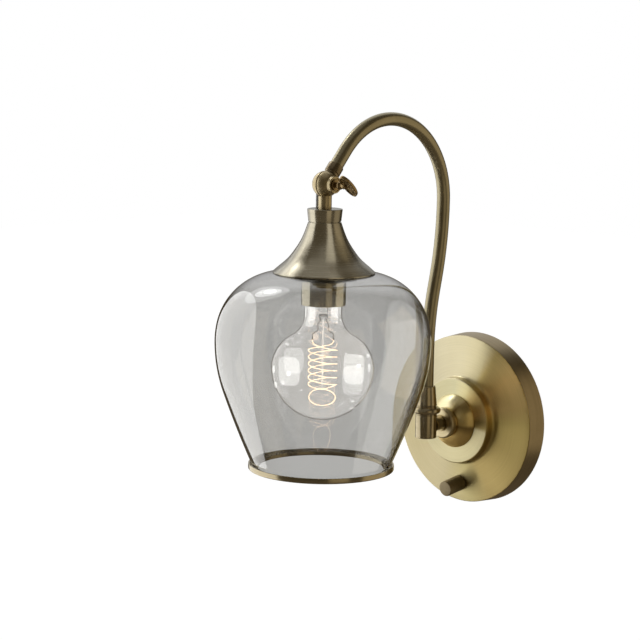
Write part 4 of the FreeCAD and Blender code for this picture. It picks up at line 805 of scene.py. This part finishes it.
def build_cap():
    low, high = heights("cap_collar")
    collar = rounded([(HEAD_BORE, high), (16.3, high, 0.7), (15.1, low + 0.8, 0.25), (14.2, low + 0.8, 0.15),
                      (14.2, low), (12.7, low), (13.2, high - 2.4), (HEAD_BORE, high - 2.4)])
    turned("spun_collar", collar, HEAD_AXIS, cap_brass, 128, "head", "cap_brass", "cap_collar")

    foot, top = heights("shade_cap")
    height = top - foot - 1.0
    outer = spline([(CAP_TOP_R + (CAP_FOOT_R - CAP_TOP_R) * out, top - height * down)
                    for out, down in CAP_SHARES], 8)
    inner = []
    for index in range(4, len(outer) - 3):
        (ax, ay), (bx, by) = outer[index - 1], outer[index + 1]
        share = CAP_SHEET / math.dist((ax, ay), (bx, by))
        inner.append((outer[index][0] + share * (by - ay), outer[index][1] - share * (bx - ax)))
    cap = [(HEAD_BORE, top)] + rounded([(14.6, top), (CAP_TOP_R, top, 0.3), outer[1]])[1:-1] + outer[1:-1]
    cap += rounded([outer[-2], (CAP_FOOT_R, foot + 1.0, 0.35), (CAP_FOOT_R, foot, 0.3), (45.8, foot)])[1:]
    cap += inner[::-1] + [(14.0, top - CAP_SHEET), (HEAD_BORE, top - CAP_SHEET)]
    turned("trumpet_cap", cap, HEAD_AXIS, cap_brass, 192, "head", "cap_brass", "shade_cap")


BELLY_R = 99.7
SKIRT_ARC, LOWER_ARC, UPPER_ARC, SHOULDER_ARC = 950.0, 140.0, 80.0, 60.0
SKIRT_DEG, SHOULDER_DEG = 19.5, 12.0
GLASS_WALL = 2.2


def shade_side(inward):
    """The blown shape's four arcs from the mouth up to the neck, moved inward by a wall."""
    foot, top = heights("shade_glass")
    shoulder = math.radians(SHOULDER_DEG)
    gap = UPPER_ARC - SHOULDER_ARC
    belly = top - SHOULDER_ARC - gap * math.sin(shoulder)
    upper_r, lower_r = BELLY_R - UPPER_ARC, BELLY_R - LOWER_ARC
    lean = math.radians(SKIRT_DEG)
    out = SKIRT_ARC - LOWER_ARC
    skirt = (lower_r - out * math.cos(lean), belly + out * math.sin(lean))
    mouth_deg = -math.degrees(math.asin((skirt[1] - foot) / (SKIRT_ARC - inward)))
    arcs = bend(skirt, SKIRT_ARC - inward, mouth_deg, -SKIRT_DEG, 14)
    arcs += bend((lower_r, belly), LOWER_ARC - inward, -SKIRT_DEG, 0, 16)[1:]
    arcs += bend((upper_r, belly), UPPER_ARC - inward, 0, SHOULDER_DEG, 8)[1:]
    crown = (upper_r + gap * math.cos(shoulder), top - SHOULDER_ARC)
    return arcs + bend(crown, SHOULDER_ARC - inward, SHOULDER_DEG, 90, 36)[1:]


def build_shade():
    outer, inner = shade_side(0), shade_side(GLASS_WALL)
    top = heights("shade_glass")[1]
    (out_r, out_z), (in_r, in_z) = outer[0], inner[0]
    outline = [(out_r - 0.5, out_z), (out_r - 0.1, out_z + 0.35)] + outer[1:]
    outline += [(20.9, top), (20.7, top - 0.4)]
    slots = [0] * len(outline)
    outline += [(20.7, top - 1.8), (20.9, top - GLASS_WALL)] + inner[:0:-1]
    outline += [(in_r + 0.12, in_z + 0.35), (in_r + 0.5, in_z)]
    slots += [2] * (len(outline) - len(slots))
    slots[-1] = 1
    turned("blown_shade", outline, HEAD_AXIS, [shade_clear, ground_rim, shade_inner], 256, "head",
           "shade_glass", "shade_glass", slots=slots)

    low = heights("trim_ring")[0]
    band = rounded([(58.8, low, 0.3), (67.7, low, 0.9), (67.7, low + 5.0, 0.5), (66.2, low + 5.0, 0.3),
                    (66.2, low + 1.3, 0.3), (60.3, low + 1.3, 0.3), (60.3, low + 3.6, 0.4),
                    (58.8, low + 3.6, 0.4)], 5)
    turned("rolled_ring", band, HEAD_AXIS, ring_brass, 256, "head", "turned_brass", "trim_ring")


def build_holder():
    low, high = heights("holder_skirt")
    step, top = heights("shade_ring")
    skirt = rounded([(19.3, low, 0.25), (20.4, low, 0.5), (20.4, step, 0.4), (19.6, step), (19.6, high),
                     (18.5, high), (18.5, low + 12.0), (19.3, low + 11.0)])
    turned("holder_cup", skirt, HEAD_AXIS, cup_brass, 128, "head", "cap_brass", "holder_skirt")
    nut = [(19.7, step)] + rounded([(27.0, step, 0.3), (30.0, step + 1.0, 0.4), (30.0, top, 0.3)])
    nut += [(19.7, top)]
    turned("clamp_ring", nut, HEAD_AXIS, dark_metal, 128, "head", "holder_metal", "shade_ring")


# Bulb, in its own frame: millimetres from its widest level

BULB_R = 47.5
BULB_WALL = 0.9
BULB_SHOULDER, BULB_WAIST = 34.0, 24.0
NECK_R, NECK_END_R = 17.3, 12.6
BULB_LOW, BULB_TOP = heights("bulb_glass")
BULB_LEVEL = BULB_LOW + BULB_R
BULB_FRAME = Matrix.Translation(HEAD + UP * BULB_LEVEL * MM) @ Matrix.Rotation(math.radians(43.8), 4, "Z")
CRIMP_R = 9.6


def in_bulb(points):
    return [BULB_FRAME @ (Vector(point) * MM) for point in points]


def bulb_side(inward):
    shoulder = (BULB_R - BULB_SHOULDER, BULB_LEVEL)
    across = NECK_R + BULB_WAIST - shoulder[0]
    rise = math.sqrt((BULB_SHOULDER + BULB_WAIST) ** 2 - across ** 2)
    tilt = math.degrees(math.atan2(rise, across))
    waist = (NECK_R + BULB_WAIST, BULB_LEVEL + rise)
    neck, end, neck_high = NECK_R - inward, NECK_END_R - inward, BULB_TOP - 10.0
    arcs = [(0, BULB_LOW + inward)] + bend((0, BULB_LEVEL), BULB_R - inward, -90, 0, 40)[1:]
    arcs += bend(shoulder, BULB_SHOULDER - inward, 0, tilt, 20)[1:]
    arcs += bend(waist, BULB_WAIST + inward, 180 + tilt, 180, 18)[1:]
    return arcs + rounded([(neck, waist[1]), (neck, neck_high, 3.0), (end, neck_high + 5.0, 2.0),
                           (end, BULB_TOP)])[1:]


def build_bulb():
    turned("bulb_envelope", bulb_side(0) + bulb_side(BULB_WALL)[::-1], HEAD_AXIS, bulb_clear, 192, "head",
           "bulb_glass", "bulb_glass", closed=False)


def smooth_curve(stations, steps=12, share=0.3905):
    """Points on cubic arcs between places with headings."""
    points = []
    for (here, heading), (there, next_heading) in zip(stations, stations[1:]):
        reach = (there - here).length * share
        first = here + heading.normalized() * reach
        last = there - next_heading.normalized() * reach
        for step in range(steps):
            done = step / steps
            rest = 1 - done
            points.append(here * rest ** 3 + first * 3 * done * rest ** 2
                          + last * 3 * done * done * rest + there * done ** 3)
    return points + [stations[-1][0]]


def filament_stations(start):
    """Places with headings on the wire: down one spiral, round a hanging loop, and up another spiral, which is
    the first one turned by half a turn."""
    radius, pitch, quarters, top, hook_out, loop_r = 13.2, 12.8, 10, 16.7, 1.4, 12.2
    slope = pitch / (FULL_TURN * radius)
    hook = top - pitch * quarters / 4 - 4.5
    down = [(Vector((-CRIMP_R, 0, start)), -UP), (Vector((0, -4.0, top + 3.0)), Vector((1, 0, -0.308)))]
    for quarter in range(quarters + 1):
        cosine, sine = math.cos(math.pi / 2 * quarter), math.sin(math.pi / 2 * quarter)
        down.append((Vector((radius * cosine, radius * sine, top - pitch * quarter / 4)),
                     Vector((-sine, cosine, -slope))))
    down.append((Vector((0, -hook_out, hook)), ACROSS))
    lean = Vector((0, -math.cos(math.radians(26.6)), -math.sin(math.radians(26.6))))
    loop = []
    for quarter in (1, 2, 3):
        cosine, sine = math.cos(math.pi / 2 * quarter), math.sin(math.pi / 2 * quarter)
        middle = Vector((loop_r * sine, hook_out * (quarter / 2 - 1), hook))
        loop.append((middle + lean * loop_r * (1 - cosine), ACROSS * cosine + lean * sine))
    up = [(Vector((-here.x, -here.y, here.z)), Vector((heading.x, heading.y, -heading.z)))
          for here, heading in down[::-1]]
    return down + loop + up


def build_filament(crimp_low):
    coil = tube("hot_filament", in_bulb(smooth_curve(filament_stations(crimp_low))), 0.34, hot_wire, 10)
    place(coil, "head", "filament")


def upright(low, high, count, x=0):
    return in_bulb([(x, 0, z) for z in np.linspace(low, high, count)])


def build_glass_mount(rod_low, pinch_low, tube_low, top):
    """The flared tube, its flattened press and the rod that hangs from it."""
    flare = [(0, tube_low), (4.2, tube_low)] + through((4.2, top - 8.0), (6.6, top - 4.0), (11.2, top), 12)
    flare += [(10.4, top), (5.9, top - 3.4), (3.4, top - 8.0), (3.4, tube_low + 3.0), (0, tube_low + 3.0)]
    axis = (BULB_FRAME.translation, UP)
    mount = lathe("mount_flare", flare, axis, [mount_clear, rod_clear], 64, closed=False)
    press = tube("mount_press", upright(pinch_low, tube_low + 0.5, 8),
                 [2.0, 2.9, 3.3, 3.5, 3.6, 3.8, 4.0, 4.2], mount_clear, 32)
    for vertex in press.data.vertices:
        local = BULB_FRAME.inverted() @ vertex.co
        share = min(1.0, max(0.0, (local.z / MM - pinch_low) / 6.0))
        local.x *= 1.28 - 0.28 * share
        local.y *= 0.45 + 0.55 * share ** 3
        vertex.co = BULB_FRAME @ local
    rod = tube("mount_rod", upright(pinch_low + 0.5, rod_low, 14), [0.9] * 12 + [1.15, 0.7], rod_clear, 16)
    second_material(rod)
    place(combine("glass_mount", [mount, press, rod]), "head", "bulb_stem")


def build_supports(crimp_low, pinch_low):
    wires = []
    for side in (-1, 1):
        route = [(2.5, pinch_low + 3.0, 0), (2.5, pinch_low, 0.35), (4.8, pinch_low - 4.0, 0.2),
                 (4.8, pinch_low - 9.4, 0.35), (CRIMP_R, crimp_low + 5.6, 0.35), (CRIMP_R, crimp_low + 2.4, 0)]
        stations = [(Vector((side * x, 0, z)), Vector((side * lean, 0, -1))) for x, z, lean in route]
        wires.append(tube("support", in_bulb(smooth_curve(stations, 6)), 0.4, wire_metal, 12))
        wires.append(tube("crimp", upright(crimp_low, crimp_low + 2.4, 6, side * CRIMP_R),
                          [0.5, 0.75, 0.75, 0.75, 0.72, 0.45], wire_metal, 12))
    place(combine("support_wires", wires), "head", "bulb_supports")


def build_bulb_inside():
    crimp_low = heights("bulb_supports")[0] - BULB_LEVEL
    rod_low, top = (height - BULB_LEVEL for height in heights("bulb_stem"))
    tube_low = top - 19.5
    pinch_low = tube_low - 5.5
    build_filament(crimp_low)
    build_glass_mount(rod_low, pinch_low, tube_low, top)
    build_supports(crimp_low, pinch_low)


# Lead at the holder, and the switch knob

LEAD_R = 1.7
KNOB_DOWN = 64.6


def build_lead():
    low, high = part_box("head_lead")
    points = [Vector(((low.x + high.x) / 2, (low.y + high.y) / 2, z)) for z in np.linspace(low.z, high.z, 24)]
    place(tube("head_cable", points, LEAD_R, lead_grey, 24), "head", "head_lead")


def build_knob():
    base = Vector((0, -face_out(KNOB_DOWN), -KNOB_DOWN)) * MM
    out = Vector((0, -math.cos(SLOPE), -math.sin(SLOPE)))
    knob = rounded([(3.0, 4.8), (6.6, 4.8), (6.6, 0.6), (7.7, 0.6, 0.3), (7.7, 23.5, 0.9), (0, 23.5)])
    turned("knob_barrel", [(0, 4.8)] + knob, (base, out), knob_brass, 96, "knob", "body_brass", "switch_knob",
           closed=False)


build_plate()
build_hub()
build_arm()
build_knuckle()
build_thumb_screw()
build_cap()
build_shade()
build_holder()
build_bulb()
build_bulb_inside()
build_lead()
build_knob()

# Finish of the CAD pieces that stay

KEPT = {
    zinc: ("mounting_strap", "earth_screw", "lock_nuts", "switch_nut", "spindle_nut", "cap_nut"),
    inner_brass: ("hub_nipple", "tee_plug", "switch_bush", "switch_shaft", "pivot_spindle", "head_nipple",
                  "centre_contact"),
    spring_steel: ("lock_washer", "spindle_washer", "tilt_washer"),
    lead_grey: ("hub_lead", "arm_lead"),
    switch_black: ("switch_body", "switch_wires"),
    shell_metal: ("screw_shell", "bulb_cap"),
    rubber: ("shade_gasket",),
    dark_metal: ("holder_dome",),
    porcelain: ("holder_insert",),
    black_glass: ("bulb_insulator",),
    solder: ("bulb_contact",),
}
for material, nodes in KEPT.items():
    for node in nodes:
        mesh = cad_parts[node].data
        mesh.materials.clear()
        mesh.materials.append(material)


# Studio: a pale floor, a white surround for the camera, and soft panels

STUDIO = Vector((0, -0.2, 0.1))
AMBER = (1.0, 0.84, 0.58)
AMBER_PALE = (1.0, 0.97, 0.90)
ROOM = (0.095, 0.078, 0.052)
ROOM_LOW = (0.17, 0.14, 0.10)
ROOM_PATCH = (0.85, 0.85, 0.85)
PATCH_WAY = (-0.567, 0.591, 0.574)
FLOOR_HALF, FLOOR_LEVEL = 9.0, -0.95
SHELL_R = 1.12
SHADE = ("blown_shade",)
CAP = ("trumpet_cap",)
HEAD_BRASS = ("trumpet_cap", "spun_collar", "holder_cup")


def soft_panel(name, azimuth_deg, elevation_deg, distance, width, height, radiance, colour=WHITE,
               shape="RECTANGLE", turn=0, only=None, without=None):
    """A flat lamp that faces the object, with its brightness given as radiance and turned some degrees about
    its own axis. only names the pieces it lights, without the pieces it leaves out."""
    azimuth, elevation = math.radians(azimuth_deg), math.radians(elevation_deg)
    away = Vector((math.cos(elevation) * math.cos(azimuth), math.cos(elevation) * math.sin(azimuth),
                   math.sin(elevation)))
    lamp = bpy.data.lights.new(name, "AREA")
    lamp.shape = shape
    lamp.size, lamp.size_y = width, height
    lamp.color = colour
    area = width * height if shape == "RECTANGLE" else width * height * math.pi / 4
    lamp.energy = radiance * math.pi * area
    thing = new_object(name, lamp)
    thing.location = STUDIO + away * distance
    thing.rotation_mode = "QUATERNION"
    thing.rotation_quaternion = (-away).to_track_quat("-Z", "Y") @ Quaternion(UP, math.radians(turn))
    if only or without:
        lit = bpy.data.collections.new(name + "_lit")
        for piece in only or without:
            lit.objects.link(bpy.data.objects[piece])
        if without:
            for entry in lit.collection_objects:
                entry.light_linking.link_state = "EXCLUDE"
        thing.light_linking.receiver_collection = lit


def build_lamps():
    soft_panel("panel_left_near", 223.8, 0, 1.35, 0.983, 2.3, 1.25, without=SHADE)
    soft_panel("panel_left_far", 182.8, 0, 1.35, 1.036, 2.3, 1.4, without=SHADE)
    soft_panel("panel_right", 48.8, 2, 1.7, 1.8, 2.2, 0.45, AMBER, without=HEAD_BRASS)
    soft_panel("cap_right", 48.8, 2, 1.7, 1.8, 2.2, 0.215, AMBER, only=HEAD_BRASS)
    soft_panel("panel_front", -18.2, 5, 2.3, 1.3, 2.2, 0.34, AMBER)
    soft_panel("glow_core", 176.0, 49, 1.60, 0.16, 0.16, 7.0, shape="DISK", without=SHADE)
    soft_panel("glow_middle", 176.0, 49, 1.66, 0.36, 0.36, 2.6, shape="DISK", without=SHADE)
    soft_panel("glow_rim", 176.0, 49, 1.72, 0.90, 0.90, 1.0, shape="DISK", without=SHADE)
    soft_panel("panel_top", -90.0, 82, 1.9, 1.4, 1.4, 0.22)
    soft_panel("cap_stripe", -12.0, 50, 2.0, 0.85, 1.5, 0.62, AMBER_PALE, only=CAP)
    soft_panel("cap_side", 38.0, 38, 2.0, 1.3, 1.0, 0.16, AMBER, only=CAP)
    soft_panel("shade_left", 198.8, 0, 1.35, 2.27, 2.30, 1.45, shape="ELLIPSE", only=SHADE)
    soft_panel("shade_right", 46.2, -18, 1.2, 1.3, 2.1, 0.50, AMBER_PALE, turn=-19, only=SHADE)
    soft_panel("shade_glow_core", 178.0, 49, 1.60, 0.18, 0.24, 3.4, shape="ELLIPSE", only=SHADE)
    soft_panel("shade_glow_middle", 180.0, 48, 1.66, 0.42, 0.56, 2.0, shape="ELLIPSE", only=SHADE)
    soft_panel("shade_glow_rim", 182.0, 46, 1.72, 0.85, 1.0, 0.9, shape="ELLIPSE", only=SHADE)


def build_world():
    """White behind the object for the camera, and a dim warm room with a pale patch for mirrored rays."""
    world = bpy.data.worlds.new("studio")
    bpy.context.scene.world = world
    world.use_nodes = True
    world.node_tree.nodes.clear()
    tree = Nodes("studio", world.node_tree)
    camera, passed, _ = tree.rays()
    heading = tree.add("ShaderNodeTexCoord").outputs["Generated"]
    tone = tree.mix(tree.spread(tree.along(heading, -UP), 0.05, 0.8), ROOM, ROOM_LOW)
    tone = tree.mix(tree.spread(tree.along(heading, PATCH_WAY), 0.80, 0.93), tone, ROOM_PATCH)
    room = tree.add("ShaderNodeBackground", tone).outputs[0]
    white = tree.add("ShaderNodeBackground", WHITE).outputs[0]
    tree.add("ShaderNodeOutputWorld", tree.blend(tree.math("MAXIMUM", camera, passed), room, white))


def build_floor():
    """A pale floor that shows as white and leaves mirrored rays alone."""
    mesh = bpy.data.meshes.new("floor")
    corners = [(x * FLOOR_HALF, y * FLOOR_HALF, FLOOR_LEVEL) for x, y in ((-1, -1), (1, -1), (1, 1), (-1, 1))]
    mesh.from_pydata(corners, [], [(0, 1, 2, 3)])
    tree = Nodes("floor_pale")
    tree.fill(tree.shader, Base_Color=(0.86, 0.86, 0.86), Roughness=0.9, Specular_IOR_Level=0.2)
    camera, passed, straight = tree.rays()
    glow = tree.add("ShaderNodeEmission")
    tree.fill(glow, Strength=tree.math("MAXIMUM", tree.times(camera, 0.99), passed))
    lit = tree.blend(tree.math("MAXIMUM", tree.times(camera, 0.85), passed), tree.shader.outputs[0],
                     tree.clear((0, 0, 0)))
    both = tree.add("ShaderNodeAddShader", glow.outputs[0], lit).outputs[0]
    tree.show(tree.blend(straight, tree.clear(), both))
    mesh.materials.append(tree.material)
    new_object("floor", mesh)


def build_surround():
    """A white shell inside the ring of lamps that only rays straight through glass can see, so that no lamp
    shows through."""
    tree = Nodes("surround_white")
    white = tree.fill(tree.add("ShaderNodeEmission"), Strength=1.0).outputs[0]
    tree.show(tree.blend(tree.rays()[1], tree.clear(), white))
    outline = bend((0, 0), SHELL_R / MM, -90, 90, 24)
    lathe("surround", outline, (STUDIO, UP), tree.material, 48, closed=False)


FOCAL_PX, PHOTO_PX, SENSOR_MM = 2042.31, 640, 36.0
CAMERA_AT = (1.28366, -1.56762, 0.39407)


def build_camera():
    data = bpy.data.cameras.new("camera")
    data.sensor_width = SENSOR_MM
    data.lens = FOCAL_PX / PHOTO_PX * SENSOR_MM
    data.clip_start, data.clip_end = 0.05, 60
    camera = new_object("camera", data)
    camera.matrix_world = Matrix.Translation(CAMERA_AT) @ Matrix(VIEW).transposed().to_4x4()
    bpy.context.scene.camera = camera


build_lamps()
build_world()
build_floor()
build_surround()
build_camera()
bpy.context.scene.view_settings.view_transform = "Standard"
